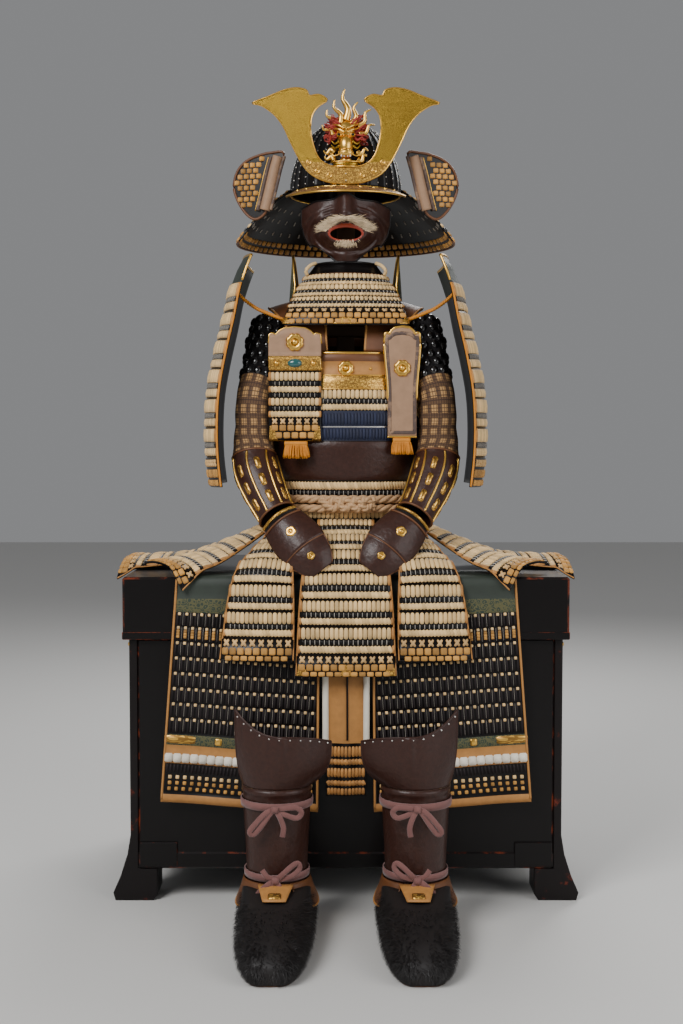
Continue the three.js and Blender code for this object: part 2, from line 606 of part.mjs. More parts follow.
const KNEE = { x: -106, y: -206, z: 341, half: 80, fore: 36, outer: 41, inner: -13, sweep: rad(84) };
function knee(u, v) {
  const low = shinAt(-u * KNEE.sweep, SHIN.top);
  const up = 1 - v;
  const corner = (u < 0 ? KNEE.outer : KNEE.inner) * Math.abs(u) ** 2.3;
  const top = point(KNEE.x + KNEE.half * u, KNEE.y - KNEE.fore * (1 - u * u), KNEE.z + corner);
  const flare = 1 - (1 - up) ** 3.2;
  return point(mix(low.x, top.x, flare), mix(low.y, top.y, flare), mix(low.z + 3 * GAP, top.z, up));
}
const kneeRows = table("v lift", [
  [0, 2], [0.05, 2], [0.055, 0.5], [0.5, 0.5], [0.8, 0.5], [0.93, 1.2], [1, 1.2],
]);
pair("knee_plate", shell(knee, { across: 12, rows: kneeRows, inside: 5 }), "iron");

// Velvet ties round the shin guards, each with a bow in front
function tie(z, high, tails) {
  const band = (side) => span(1).map((v) => span(14).slice(0, -1).map((s) => {
    return shinAt(s * 2 * Math.PI, z + high * (0.5 - v), side);
  }));
  const front = shinAt(0, z, 6).y;
  const blob = (dx, dz, a, b, turn) => {
    const lump = new THREE.SphereGeometry(1, 6, 4).scale(a, 4, b).rotateY(rad(turn));
    return lump.translate(SHIN.x + dx, front - 1, z + dz);
  };
  const bow = [blob(0, 0, 8, 8, 0), blob(-18, 5, 17, 9, 18), blob(18, 5, 17, 9, -18)];
  bow.push(blob(-13, -tails / 2, 8, tails / 2 + 4, -24), blob(13, -tails / 2, 8, tails / 2 + 4, 24));
  return joined(wall(band(5), band(2.9), true), ...bow);
}
const KNEE_TIE = { z: 222, high: 14, tails: 34 };
const ANKLE_TIE = { z: 101, high: 12, tails: 12 };
pair("knee_tie", tie(KNEE_TIE.z, KNEE_TIE.high, KNEE_TIE.tails), "velvet");
pair("ankle_tie", tie(ANKLE_TIE.z, ANKLE_TIE.high, ANKLE_TIE.tails), "velvet");

// Boots: a fur upper from the sole's outline to the ankle, with a flat sole
const BOOT = byHeight(table("z toe heel half", [
  [0, 266, 60, 55], [12, 272, 63, 61], [34, 270, 63, 62], [52, 236, 62, 60], [66, 176, 60, 58], [76, 110, 58, 57.6],
  [83, 57.2, 54.9, 54.6],
]));
function bootAt(turn, z, out = 0) {
  const { toe, heel, half } = BOOT(z);
  const [s, c] = [Math.sin(turn), Math.cos(turn)];
  const blunt = Math.sign(s) * Math.abs(s) ** (z < 60 ? 0.5 : 0.8);
  return point(SHIN.x - (half + out) * blunt, SHIN.y - ((c > 0 ? toe : heel) + out) * c, z);
}
function boot() {
  const levels = [0, 12, 36, 56, 71, 83];
  const turns = span(16).slice(0, -1).map((s) => s * 2 * Math.PI);
  const skin = (out, drop) => levels.map((z) => turns.map((turn) => {
    const p = bootAt(turn, z, z < 40 ? out : out * 0.8);
    return p.setZ(Math.max(0, z - (z > 40 ? drop : 0)));
  }));
  const upper = wall(skin(0, 0), skin(-3, 3), true);
  const sole = turns.map((turn) => bootAt(turn, 0, -1.5));
  const outline = new THREE.Shape(sole.map((p) => new THREE.Vector2(p.x, p.y)));
  return joined(upper, new THREE.ExtrudeGeometry(outline, { depth: 4, bevelEnabled: false }));
}
pair("boot", boot(), "fur");

// Helmet: a ribbed bowl, a peak, and a laced neck guard whose front ends carry turned-back wings
const RIBS = 16;
function bowl() {
  const arc = (r, high, count, down) => span(count).map((s) => {
    const lift = (down ? s : 1 - s) * (Math.PI / 2);
    return new THREE.Vector2(Math.max(0, r * Math.cos(lift)) * (lift > 1.57 ? 0 : 1), high * Math.sin(lift));
  });
  const { wide, high, thick } = HELMET;
  const outside = arc(wide, high, 7, true);
  const inside = arc(wide - thick, high - thick, 4, false);
  const geometry = new THREE.LatheGeometry([...inside, ...outside], 2 * RIBS).rotateX(Math.PI / 2);
  const at = geometry.attributes.position;
  for (let i = 0; i < at.count; i++) {
    const [x, y, z] = [at.getX(i), at.getY(i), at.getZ(i)];
    const radial = Math.hypot(x, y);
    const shell = Math.hypot(radial / wide, z / high);
    const column = Math.round((Math.atan2(y, x) / Math.PI) * RIBS);
    const rib = shell > 0.995 && radial > 20 && Math.abs(column) % 2 === 1 ? 1.018 : 1;
    at.setXYZ(i, x * rib, (y * rib * HELMET.deep) / wide + HELMET.y, z + HELMET.rimZ);
  }
  return geometry;
}
add("helmet_bowl", bowl(), "lacquer");
function around(turn, out, z) {
  return point((HELMET.wide + out) * Math.sin(turn), HELMET.y - (HELMET.deep + out) * Math.cos(turn), z);
}
const peak = (u, v) => {
  const turn = rad(66) * u;
  const reach = Math.cos(turn * 1.1) ** 0.5;
  return around(turn, 2.7 + 28 * v * reach, HELMET.rimZ - 1.0 - v * (4 + 9 * reach));
};
add("helmet_peak", shell(peak, { across: 14, rows: plain(2), inside: 2 }), "leather");
const NECK = { sweep: rad(104), top: HELMET.rimZ + 4, reach: 101, shorter: 30, drop: 98 };
const neck = (u, v) => {
  const turn = Math.PI + NECK.sweep * u;
  const behind = (1 - Math.sin(Math.abs(turn - Math.PI)) ** 2) * (Math.abs(u) < 0.87 ? 1 : 0.4);
  const out = 4 + (NECK.reach - NECK.shorter * behind) * v;
  return around(turn, out - 0.7, NECK.top - NECK.drop * (0.62 * v + 0.38 * v * v));
};
add("neck_guard", shell(neck, { across: 22, rows: lames(5), inside: 4 }), "cream");
const WING = { x: 114, lean: 0.36, thick: 3, tuck: 3.6 };
const wingOutline = [
  [-114, 1369], [-126, 1331], [-139, 1291], [-146, 1266], [-158, 1251], [-174, 1247], [-192, 1262], [-207, 1288],
  [-213, 1313], [-206, 1340], [-188, 1359], [-161, 1369], [-138, 1372],
];
function wing() {
  const geometry = plate(wingOutline, -WING.thick, 0);
  const at = geometry.attributes.position;
  let seat = Infinity;
  for (const u of span(40)) {
    for (const v of span(20)) {
      for (const side of [-1.2, 5.2]) {
        const p = neck(-1 + u * 0.6, v);
        p.addScaledVector(normal(neck, -1 + u * 0.6, v), side);
        const inside = p.z > 1240 && p.z < 1300 && Math.abs(p.x) > 120 && Math.abs(p.x) < 213;
        if (inside) seat = Math.min(seat, p.y - (Math.abs(p.x) - WING.x) * WING.lean);
      }
    }
  }
  for (let i = 0; i < at.count; i++) {
    at.setY(i, at.getY(i) + seat + WING.tuck + (Math.abs(at.getX(i)) - WING.x) * WING.lean);
  }
  return geometry;
}
pair("helmet_wing", wing(), "leather");

// Horns: one gilt plate whose two arms rise from a base in front of the bowl
const hornInner = [[-35, 1454], [-51, 1443], [-62, 1427], [-65, 1401], [-60, 1373], [-49, 1348], [-29, 1335]];
const hornOuter = [
  [-24, 1303], [-46, 1309], [-68, 1322], [-85, 1344], [-103, 1379], [-116, 1407], [-133, 1429], [-156, 1445],
  [-173, 1450], [-141, 1463], [-114, 1474], [-91, 1478], [-73, 1474], [-67, 1464], [-51, 1466], [-39, 1461],
];
const hornHalf = [[0, 1302], ...hornOuter, ...hornInner, [0, 1333]];
const hornOutline = [...hornHalf, ...hornHalf.slice(1, -1).reverse().map(([x, z]) => [-x, z])];
const HORN_Y = HELMET.y - HELMET.deep * 1.018 * Math.cos(Math.PI / RIBS) - GAP;
add("helmet_horns", plate(hornOutline, HORN_Y - 2.5, HORN_Y), "gold");

// Crest: a gilt dragon's head and neck with a red mane, of general form
function crest() {
  const ball = (x, y, z, a, b, c) => new THREE.SphereGeometry(1, 8, 5).scale(a, b, c).translate(x, y, z);
  const spike = (x, z, long, wide, lean) => {
    const cone = new THREE.ConeGeometry(wide, long, 5).translate(0, long / 2, 0).rotateX(Math.PI / 2);
    return cone.rotateY(rad(lean)).translate(x, HORN_Y + 18, z);
  };
  const spine = [[0, HORN_Y + 8, 1338], [-14, HORN_Y + 4, 1358], [10, HORN_Y + 10, 1382], [2, HORN_Y + 14, 1408]];
  const pieces = [
    cordAlong(spine, 13, 8, 8), ball(0, HORN_Y + 16, 1420, 22, 18, 20), ball(-2, HORN_Y - 2, 1412, 15, 20, 11),
    ball(-2, HORN_Y + 2, 1396, 12, 14, 7), spike(-12, 1430, 46, 5, -22), spike(12, 1430, 46, 5, 22),
  ];
  for (const lean of [-100, -78, -56, -34, -12, 12, 34, 56, 78, 100]) {
    pieces.push(spike(Math.sin(rad(lean)) * 8, 1424, 42 + 16 * Math.cos(rad(lean)), 9, lean));
  }
  return pieces;
}
const bowlRoom = [HELMET.wide + 2.6, HELMET.deep + 2.6, HELMET.high + 3];
const clear = new THREE.SphereGeometry(1, 32, 16).scale(...bowlRoom);
const hornRoom = box(-200, 200, HORN_Y - 3, HORN_Y + GAP, 1290, 1345);
add("helmet_crest", cut(joined(...crest()), clear.translate(0, HELMET.y, HELMET.rimZ), hornRoom), "gold");

// Mask: cheeks, nose and an open mouth, with a throat guard hung from its chin
const MASK = { y: 142, wide: 85, deep: 84, sweep: rad(78), cheek: 1273, chin: 1162, mouthZ: 1211 };
function maskFace(x, z) {
  const bridge = clamp((1300 - z) / 62, 0, 1);
  const under = ease(z, 1224, 1238);
  const nose = 25 * Math.exp(-((x / 13) ** 2)) * (0.15 + 0.85 * bridge) * under;
  const cheek = 6 * Math.exp(-(((Math.abs(x) - 46) / 20) ** 2) - ((z - 1238) / 20) ** 2);
  const lip = 4 * Math.exp(-(((Math.hypot(x / 36, (z - MASK.mouthZ) / 17) - 1) / 0.35) ** 2));
  const chin = 6 * Math.exp(-((x / 24) ** 2) - ((z - 1172) / 14) ** 2);
  return nose + cheek + lip + chin;
}
function mask(u, v) {
  const turn = u * MASK.sweep;
  const x = MASK.wide * Math.sin(turn);
  const top = MASK.cheek + 11 * Math.exp(-((x / 16) ** 2)) - 8 * ease(Math.abs(x), 50, 84);
  const low = MASK.chin + 34 * ease(Math.abs(x), 18, 82);
  const z = mix(top, low, v);
  const narrow = 1 - 0.34 * ease(z, 1235, 1160);
  const out = maskFace(x, z);
  const deep = MASK.deep * (1 - 0.27 * ease(z, 1215, 1160));
  return point((x + out * Math.sin(turn)) * narrow, MASK.y - (deep + out) * Math.cos(turn), z);
}
const maskShell = shell(mask, { across: 22, rows: plain(10), inside: 4, thick: 2.4 });
const mouth = new THREE.CylinderGeometry(1, 1, 120, 28).scale(31, 1, 12).translate(0, 0, MASK.mouthZ);
add("face_mask", cut(maskShell, mouth), "iron");
const THROAT = byHeight(table("z half front side", [
  [1161, 56, 80, 128], [1143, 70, 68, 122], [1120, 84, 55, 104], [1093, 98, 43, 80], [1065, 108, 33, 56],
  [1043, 113, 27, 42],
]));
const throat = (u, v) => {
  const { half, front, side } = THROAT(mix(1161, 1043, v));
  const turn = u * rad(80);
  const share = (Math.cos(turn) - Math.cos(rad(80))) / (1 - Math.cos(rad(80)));
  return point((half * Math.sin(turn)) / Math.sin(rad(80)), mix(side, front, share), mix(1161, 1043, v));
};
const throatRows = [{ v: 0, lift: 0.4 }, { v: 0.2, lift: 0.4 }, ...lames(4, 0.21, 1, 3.6, 0.8)];
add("throat_guard", shell(throat, { across: 11, rows: throatRows, inside: 6 }), "cream");

// Stand: a post on the lid with a shoulder bar, a bar behind the mask and a head board
const STAND = { x: 17, y: 180, deep: 17, top: HELMET.rimZ + HELMET.high - HELMET.thick - 6.5 };
add("stand", joined(
  box(-STAND.x, STAND.x, STAND.y - STAND.deep, STAND.y + STAND.deep, CHEST.top + 18, STAND.top),
  box(-60, 60, STAND.y - 46, STAND.y + 46, CHEST.top + GAP, CHEST.top + 18),
  box(-122, 122, STAND.y - 30, STAND.y + 10, 1050, 1074),
  box(-60, 60, STAND.y - 30, STAND.y + 10, 1030, 1050),
  box(-80, 80, 120, STAND.y, 1244, 1262),
), "wood");

export default model;
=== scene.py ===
import math

import bmesh
import bpy
import numpy as np
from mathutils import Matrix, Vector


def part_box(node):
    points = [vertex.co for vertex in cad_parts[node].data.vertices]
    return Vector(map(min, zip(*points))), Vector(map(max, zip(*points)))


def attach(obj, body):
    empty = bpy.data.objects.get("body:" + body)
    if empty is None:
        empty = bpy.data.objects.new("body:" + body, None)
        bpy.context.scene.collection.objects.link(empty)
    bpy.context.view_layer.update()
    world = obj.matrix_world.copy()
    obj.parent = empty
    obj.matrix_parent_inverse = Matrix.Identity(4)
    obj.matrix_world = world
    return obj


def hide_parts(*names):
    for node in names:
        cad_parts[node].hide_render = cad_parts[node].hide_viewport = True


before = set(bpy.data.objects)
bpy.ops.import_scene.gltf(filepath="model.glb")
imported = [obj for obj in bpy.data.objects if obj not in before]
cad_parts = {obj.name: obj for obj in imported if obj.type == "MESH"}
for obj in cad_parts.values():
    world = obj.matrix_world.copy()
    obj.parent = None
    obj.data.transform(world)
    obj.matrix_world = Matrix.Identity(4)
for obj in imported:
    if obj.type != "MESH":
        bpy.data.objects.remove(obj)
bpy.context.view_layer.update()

MM = 0.001
LEFT, RIGHT = -1, 1
SIDES = {LEFT: "left", RIGHT: "right"}
rng = np.random.default_rng(11)

# Driving dimensions, as in the solids
CHEST = {"half": 399, "front": -50, "back": 450, "top": 589, "edge": 8, "seam": 477, "body_half": 374,
         "inset": 12, "floor_gap": 60}
TORSO_Y = 150
HEM_Z = 685
ARMHOLE_Z = 872
FRONT_TOP, BACK_TOP = 993, 1040
LEVEL_Z = 865
WAIST_Z = 715.5
HELMET = {"y": 181, "rim": 1300, "wide": 104, "deep": 112, "high": 138}
RIBS = 32
LEG_X = 118
SHIN_Y = -178


# Camera, in metres, as the photograph's sizes place it
CAMERA_PLACE = (-0.008, -2.573, 0.833)
LOOKS_DOWN = 2.9


def set_camera():
    data = bpy.data.cameras.new("camera")
    data.lens = 50
    data.sensor_width = 36
    camera = bpy.data.objects.new("camera", data)
    camera.location = CAMERA_PLACE
    camera.rotation_euler = (math.radians(90 - LOOKS_DOWN), 0, 0)
    bpy.context.scene.collection.objects.link(camera)
    bpy.context.scene.camera = camera


set_camera()


# Numbers and vectors
def mix(a, b, t):
    return a + (b - a) * t


def ease(x, low, high):
    t = np.clip((x - low) / (high - low), 0, 1)
    return t * t * (3 - 2 * t)


def bump(x, middle, half):
    return np.exp(-((x - middle) / half) ** 2)


def point(x, y, z):
    return np.stack(np.broadcast_arrays(x, y, z), -1).astype(float)


def unit(v):
    return v / np.maximum(np.linalg.norm(v, axis=-1, keepdims=True), 1e-9)


def table(names, rows):
    """Rows of numbers become named columns"""
    return {key: np.array(column, float) for key, column in zip(names.split(), zip(*rows))}


def track(rows, by=("x", "y", "z")):
    """A smooth line through a table's rows, read by its share of the length between them"""
    steps = np.sqrt(sum(np.diff(rows[key]) ** 2 for key in by))
    length = np.concatenate([[0], np.cumsum(steps)])
    last = len(length) - 1

    def at(t):
        s = np.clip(t, 0, 1) * length[-1]
        i = np.clip(np.searchsorted(length, s) - 1, 0, last - 1)
        f = (s - length[i]) / (length[i + 1] - length[i])

        def value(column):
            a, b, c, d = (column[np.clip(i + k, 0, last)] for k in (-1, 0, 1, 2))
            return b + 0.5 * f * (c - a + f * (2 * a - 5 * b + 4 * c - d + f * (3 * (b - c) + d - a)))

        return {key: value(column) for key, column in rows.items()}

    return at


def by_height(rows):
    line = track(rows, ("z",))
    first, last = rows["z"][0], rows["z"][-1]
    return lambda z: line((z - first) / (last - first))


def normal(surface, u, v):
    e = 1e-3
    du = surface(u + e, v) - surface(u - e, v)
    dv = surface(u, np.minimum(1, v + e)) - surface(u, np.maximum(0, v - e))
    return unit(np.cross(dv, du))


def panel(rows, bend=None):
    """A panel along a track: half its width, its swell, and the turn and slope of the line across it"""
    line = track(rows)

    def surface(u, v):
        s = line(v)
        a, b = line(np.maximum(0, v - 0.01)), line(np.minimum(1, v + 0.01))
        down = point(b["x"] - a["x"], b["y"] - a["y"], b["z"] - a["z"])
        yaw, slope = np.radians(s["yaw"]), np.radians(s["slope"])
        over = point(np.cos(yaw) * np.cos(slope), np.sin(yaw) * np.cos(slope), np.sin(slope))
        out = unit(np.cross(down, over))
        p = point(s["x"], s["y"], s["z"])
        p = p + over * (s["half"] * u)[..., None] + out * (s["bulge"] * (1 - u * u))[..., None]
        return bend(p) if bend else p

    return surface


def tube(rows):
    """A tube along a track, with its section square to the line; u goes once round it"""
    line = track(rows)

    def surface(u, v):
        s = line(v)
        a, b = line(np.maximum(0, v - 0.01)), line(np.minimum(1, v + 0.01))
        down = unit(point(b["x"] - a["x"], b["y"] - a["y"], b["z"] - a["z"]))
        side = unit(np.cross(point(0, 1, 0), down))
        fore = np.cross(down, side)
        turn = -u * 2 * math.pi
        p = point(s["x"], s["y"], s["z"])
        return p + side * (s["wide"] * np.cos(turn))[..., None] + fore * (s["deep"] * np.sin(turn))[..., None]

    return surface


def sided(surface, side):
    """The same surface on the viewer's left or, mirrored, on the right"""
    if side == LEFT:
        return surface
    return lambda u, v: surface(-u, v) * np.array([-1, 1, 1])


def lifted(surface, out):
    return lambda u, v: surface(u, v) + normal(surface, u, v) * out


def raised(surface, height):
    """A surface lifted by a height that changes over it"""
    return lambda u, v: surface(u, v) + normal(surface, u, v) * height(u, v)[..., None]


def even(count, lift=0.0):
    """Rows of a plain wall, each as its share of the way down and its lift off the surface"""
    return [(v, lift) for v in np.linspace(0, 1, count)]


def length_down(surface, v0, v1, u=0.0):
    line = surface(np.full(9, u), np.linspace(v0, v1, 9))
    return np.linalg.norm(np.diff(line, axis=0), axis=1).sum()


# Surfaces of the pieces
def over_edge(distance, height, steep):
    radius = CHEST["edge"] + np.maximum(0, height)
    turn = np.minimum(np.maximum(distance, 0) / radius, steep)
    rest = np.maximum(distance, 0) - turn * radius
    out = np.where(distance <= 0, distance, radius * np.sin(turn) + rest * np.cos(turn))
    drop = radius * (1 - np.cos(turn)) + rest * np.sin(turn)
    return out, drop


def drape(p, steep=1.1):
    """What lies on the lid bends down over its front and side edges"""
    p = p.copy()
    edge = CHEST["edge"]
    height = p[..., 2] - CHEST["top"]
    fore, fore_drop = over_edge(CHEST["front"] + edge - p[..., 1], height, steep)
    out, side_drop = over_edge(np.abs(p[..., 0]) - CHEST["half"] + edge, height, 0.75)
    p[..., 1] = np.where(fore_drop > 0, CHEST["front"] + edge - fore, p[..., 1])
    p[..., 0] = np.where(side_drop > 0, np.sign(p[..., 0]) * (CHEST["half"] - edge + out), p[..., 0])
    p[..., 2] -= fore_drop + side_drop
    return p


TORSO = by_height(table("z a front back", [
    [660, 140, 112, 105], [700, 138, 110, 103], [745, 140, 111, 105], [800, 150, 117, 112],
    [870, 158, 121, 118], [940, 150, 119, 117], [1000, 137, 112, 110], [1050, 126, 102, 104],
]))


def torso(turn, z):
    s = TORSO(z)
    deep = np.where(np.cos(turn) > 0, s["front"], s["back"])
    return point(s["a"] * np.sin(turn), TORSO_Y - deep * np.cos(turn), z)


def cuirass_top(turn):
    angle = np.degrees(np.abs(turn))
    front = mix(FRONT_TOP, ARMHOLE_Z, ease(angle, 46, 70))
    back = mix(ARMHOLE_Z, BACK_TOP, ease(angle, 98, 122))
    return np.where(angle < 90, front, back)


def cuirass_half(top, middle):
    """Front or back of the cuirass; levels above the armhole shrink with its upper edge"""
    def surface(u, v):
        turn = np.radians(middle + 89.85 * u)
        wrapped = np.where(turn > math.pi, turn - 2 * math.pi, turn)
        z = mix(top, HEM_Z, v)
        shrink = (cuirass_top(wrapped) - LEVEL_Z) / (top - LEVEL_Z)
        level = np.where(z <= LEVEL_Z, z, LEVEL_Z + (z - LEVEL_Z) * shrink)
        return torso(turn, level)
    return surface


PANEL = "x y z half bulge yaw slope"
STRAP = panel(table(PANEL, [
    [-62, 48, 994.8, 28, 0, 180, 0], [-70, 58, 1030, 34, 0, 180, 0], [-84, 90, 1070, 46, 2, 180, -6],
    [-92, 140, 1092, 56, 3, 180, -12], [-90, 188, 1090, 52, 3, 180, -12], [-80, 226, 1070, 42, 2, 180, -6],
    [-74, 250, 1042.4, 32, 0, 180, 0],
]))
TASSETS = {
    "front": panel(table(PANEL, [
        [-94, 67, 682, 27, 2, -40, 0], [-114, 28, 660, 33, 4, -36, 0], [-130, -20, 634, 41, 6, -26, 0],
        [-144, -58, 602, 51, 8, -12, 0], [-150, -72, 556, 58, 9, -8, 0], [-154, -76, 500, 62, 9, -6, 0],
        [-158, -81, 444, 65, 8, -5, 0],
    ])),
    "side_front": panel(table(PANEL, [
        [-133, 106, 681, 28, 2, -68, 0], [-166, 92, 660, 38, 4, -66, 0], [-210, 66, 636, 48, 8, -64, -3],
        [-255, 28, 614.8, 57, 10, -60, -4], [-295, -2, 605, 62, 11, -56, -5],
        [-330, -26, 600, 66, 10, -53, -6],
    ]), drape),
    "side_rear": panel(table(PANEL, [
        [-140, 184, 681, 30, 2, -102, 0], [-175, 184, 655, 40, 5, -100, 0], [-228, 182, 628, 50, 10, -98, 0],
        [-290, 172, 603, 58, 14, -97, 0], [-350, 160, 595.2, 64, 17, -97, 0],
        [-392, 152, 593.4, 66, 18, -98, 0], [-428, 146, 600, 68, 18, -98, 0],
    ]), drape),
    "back": panel(table(PANEL, [
        [-62, 249, 681, 34, 2, -154, 0], [-72, 282, 656, 42, 4, -160, 0], [-82, 324, 630, 50, 6, -166, 0],
        [-90, 366, 603, 58, 8, -172, 0], [-94, 406, 594, 64, 9, -176, 0], [-96, 440, 590.8, 66, 9, -178, 0],
    ]), drape),
}
CENTRE_TASSET = panel(table(PANEL, [
    [0, 38, 683, 50, 1, 0, 0], [0, 6, 661, 58, 3, 0, 0], [0, -34, 636, 68, 4, 0, 0],
    [0, -64, 603, 76, 6, 0, 0],
    [0, -76, 556, 81, 7, 0, 0], [0, -80, 490, 85, 7, 0, 0], [0, -84, 417, 88, 6, 0, 0],
]))
ARM = tube(table("x y z wide deep", [
    [-140, 130, 1047.9, 34, 38], [-148, 112, 1018, 36, 38], [-155, 88, 970, 35, 35], [-168, 62, 910, 33, 33],
    [-170, 60, 850, 34, 34], [-170, 57, 820, 37, 37], [-168, 48, 795, 39, 39], [-161, 32, 770, 40, 40],
    [-147, 11, 738, 37, 37], [-131, -8, 708, 33, 33], [-124, -15, 697, 33, 33],
]))
ELBOW = 0.66
HAND = panel(table(PANEL, [
    [-119, -24.3, 692, 34, 19, 8, 36], [-102, -37.3, 672, 40, 18, 8, 36], [-84, -50.3, 652, 43, 17, 8, 37],
    [-68, -61.3, 634, 41, 15, 8, 38], [-52, -68.3, 616, 32, 11, 8, 38], [-42, -71.3, 603, 22, 7, 8, 38],
]))
SHOULDER = panel(table(PANEL, [
    [-176, 138, 1166, 132, 16, -87, 0], [-186, 138, 1140, 140, 20, -87, 0],
    [-197, 138, 1104, 142, 22, -87, 0],
    [-208, 138, 1050, 144, 24, -87, 0], [-222, 138, 990, 146, 25, -87, 0], [-234, 138, 925, 148, 26, -87, 0],
    [-238, 138, 865, 149, 26, -87, 0], [-237, 138, 805, 150, 26, -87, 0], [-231, 138, 748, 150, 25, -87, 0],
]))
APRON_BACK = 60
LIE = CHEST["top"] + 1.8
ABOVE_EDGE = 30


def apron(length, centre, half):
    def surface(u, v):
        x = mix(*centre, v) + mix(*half, v) * u
        p = drape(point(x, APRON_BACK - length * v, LIE), math.pi / 2)
        hang = np.clip((CHEST["top"] - ABOVE_EDGE - p[..., 2]) / 400, 0, 1)
        p[..., 1] -= 6 * hang + 3 * hang * (1 + np.cos(u * 5))
        return p
    return surface


THIGH_LONG, STRIP_LONG = 520, 500
THIGH = apron(THIGH_LONG, (-170, -191), (124, 141))
STRIP = apron(STRIP_LONG, (0, 0), (41, 41))
SHIN_SIZE = by_height(table("z wide deep", [
    [40, 50, 50], [90, 50, 50], [150, 52, 53], [200, 55, 55], [250, 57, 55],
]))
SHIN_LOW, SHIN_TOP = 56, 249.3


def shin_at(turn, z, out=0.0):
    s = SHIN_SIZE(z)
    return point(-LEG_X + (s["wide"] + out) * np.sin(turn), SHIN_Y - (s["deep"] + out) * np.cos(turn), z)


def shin(u, v):
    return shin_at(u * math.radians(112), mix(SHIN_TOP, SHIN_LOW, v))


KNEE = {"x": -106, "y": -206, "z": 341, "half": 80, "fore": 36, "outer": 41, "inner": -13,
        "sweep": math.radians(84)}


def knee(u, v):
    low = shin_at(u * KNEE["sweep"], np.full_like(v, 250.9))
    corner = np.where(u < 0, KNEE["outer"], KNEE["inner"]) * np.abs(u) ** 2.3
    top = point(KNEE["x"] + KNEE["half"] * u, KNEE["y"] - KNEE["fore"] * (1 - u * u), KNEE["z"] + corner)
    flare = 1 - v ** 3.2
    x = mix(low[..., 0], top[..., 0], flare)
    y = mix(low[..., 1], top[..., 1], flare)
    return point(x, y, mix(low[..., 2], top[..., 2], 1 - v))


BOOT = by_height(table("z toe heel half", [
    [0, 266, 60, 55], [12, 272, 63, 61], [34, 270, 63, 62], [52, 236, 62, 60], [66, 176, 60, 58],
    [76, 110, 58, 57.6],
    [83, 57.2, 54.9, 54.6],
]))
BOOT_TOP = 83


def boot(u, v):
    z = mix(BOOT_TOP, 0, v)
    s = BOOT(z)
    turn = u * 2 * math.pi
    sine, cosine = np.sin(turn), np.cos(turn)
    blunt = np.sign(sine) * np.abs(sine) ** mix(0.8, 0.5, ease(z, 70, 50))
    return point(-LEG_X + s["half"] * blunt, SHIN_Y - np.where(cosine > 0, s["toe"], s["heel"]) * cosine, z)


def around(turn, out, z):
    return point((HELMET["wide"] + out) * np.sin(turn), HELMET["y"] - (HELMET["deep"] + out) * np.cos(turn),
                 z)


def peak(u, v):
    turn = math.radians(66) * u
    reach = np.cos(turn * 1.1) ** 0.5
    return around(turn, 2.7 + 28 * v * reach, HELMET["rim"] - 1.0 - v * (4 + 9 * reach))


def neck(u, v):
    turn = math.pi + math.radians(104) * u
    full = np.where(np.abs(u) < 0.87, 1, 0.4)
    out = 4 + (101 - 30 * (1 - np.sin(np.abs(turn - math.pi)) ** 2) * full) * v
    return around(turn, out - 0.7, HELMET["rim"] + 4 - 98 * (0.62 * v + 0.38 * v * v))


def dome(u, v):
    """The helmet's bowl: u goes once round, v from the crown to the rim"""
    lift = (1 - v) * math.pi / 2
    turn = u * 2 * math.pi
    rib = 1 + 0.018 * np.abs(np.cos(u * RIBS * math.pi)) ** 10 * ease(v, 0.08, 0.2)
    radius = np.cos(lift) * rib
    return point(HELMET["wide"] * radius * np.sin(turn), HELMET["y"] - HELMET["deep"] * radius * np.cos(turn),
                 HELMET["rim"] + HELMET["high"] * np.sin(lift) * rib)


MOUTH = {"z": 1211, "half": 29, "high": 11}


def mask(u, v):
    turn = u * math.radians(78)
    x = 85 * np.sin(turn)
    across = np.abs(x)
    top = 1273 + 11 * bump(x, 0, 16) - 8 * ease(across, 50, 84)
    low = 1162 + 34 * ease(across, 18, 82)
    z = mix(top, low, v)
    bridge = np.clip((1300 - z) / 62, 0, 1)
    nose = 26 * bump(x, 0, 11 + 5 * bridge) * (0.12 + 0.88 * bridge) * ease(z, 1225, 1236)
    nostril = 6 * bump(across, 14, 7) * bump(z, 1238, 8)
    cheek = 7 * bump(across, 48, 18) * bump(z, 1243, 16)
    ring = np.hypot(x / 37, (z - MOUTH["z"]) / 18)
    lip = 5 * bump(ring, 1, 0.3)
    fold = -3 * bump(ring, 1.75, 0.16) - 2 * bump(ring, 2.4, 0.15) * ease(across, 20, 40)
    chin = 7 * bump(x, 0, 24) * bump(z, 1174, 13)
    out = nose + nostril + cheek + lip + fold + chin
    narrow = 1 - 0.34 * ease(z, 1235, 1160)
    deep = 84 * (1 - 0.27 * ease(z, 1215, 1160))
    return point((x + out * np.sin(turn)) * narrow, 142 - (deep + out) * np.cos(turn), z)


THROAT_SIZE = by_height(table("z half front side", [
    [1161, 56, 80, 128], [1143, 70, 68, 122], [1120, 84, 55, 104], [1093, 98, 43, 80], [1065, 108, 33, 56],
    [1043, 113, 27, 42],
]))


def throat(u, v):
    z = mix(1161, 1043, v)
    s = THROAT_SIZE(z)
    turn, wide = u * math.radians(80), math.radians(80)
    share = (np.cos(turn) - math.cos(wide)) / (1 - math.cos(wide))
    return point(s["half"] * np.sin(turn) / math.sin(wide), mix(s["side"], s["front"], share), z)


# Shader node groups, each built once
def node(tree, kind, inputs=None, **settings):
    made = tree.nodes.new(kind)
    for key, value in settings.items():
        setattr(made, key, value)
    for key, value in (inputs or {}).items():
        if isinstance(value, bpy.types.NodeSocket):
            tree.links.new(value, made.inputs[key])
        else:
            made.inputs[key].default_value = value
    return made


def maths(tree, operation, a, b=0.0, c=0.0):
    return node(tree, "ShaderNodeMath", {0: a, 1: b, 2: c}, operation=operation).outputs[0]


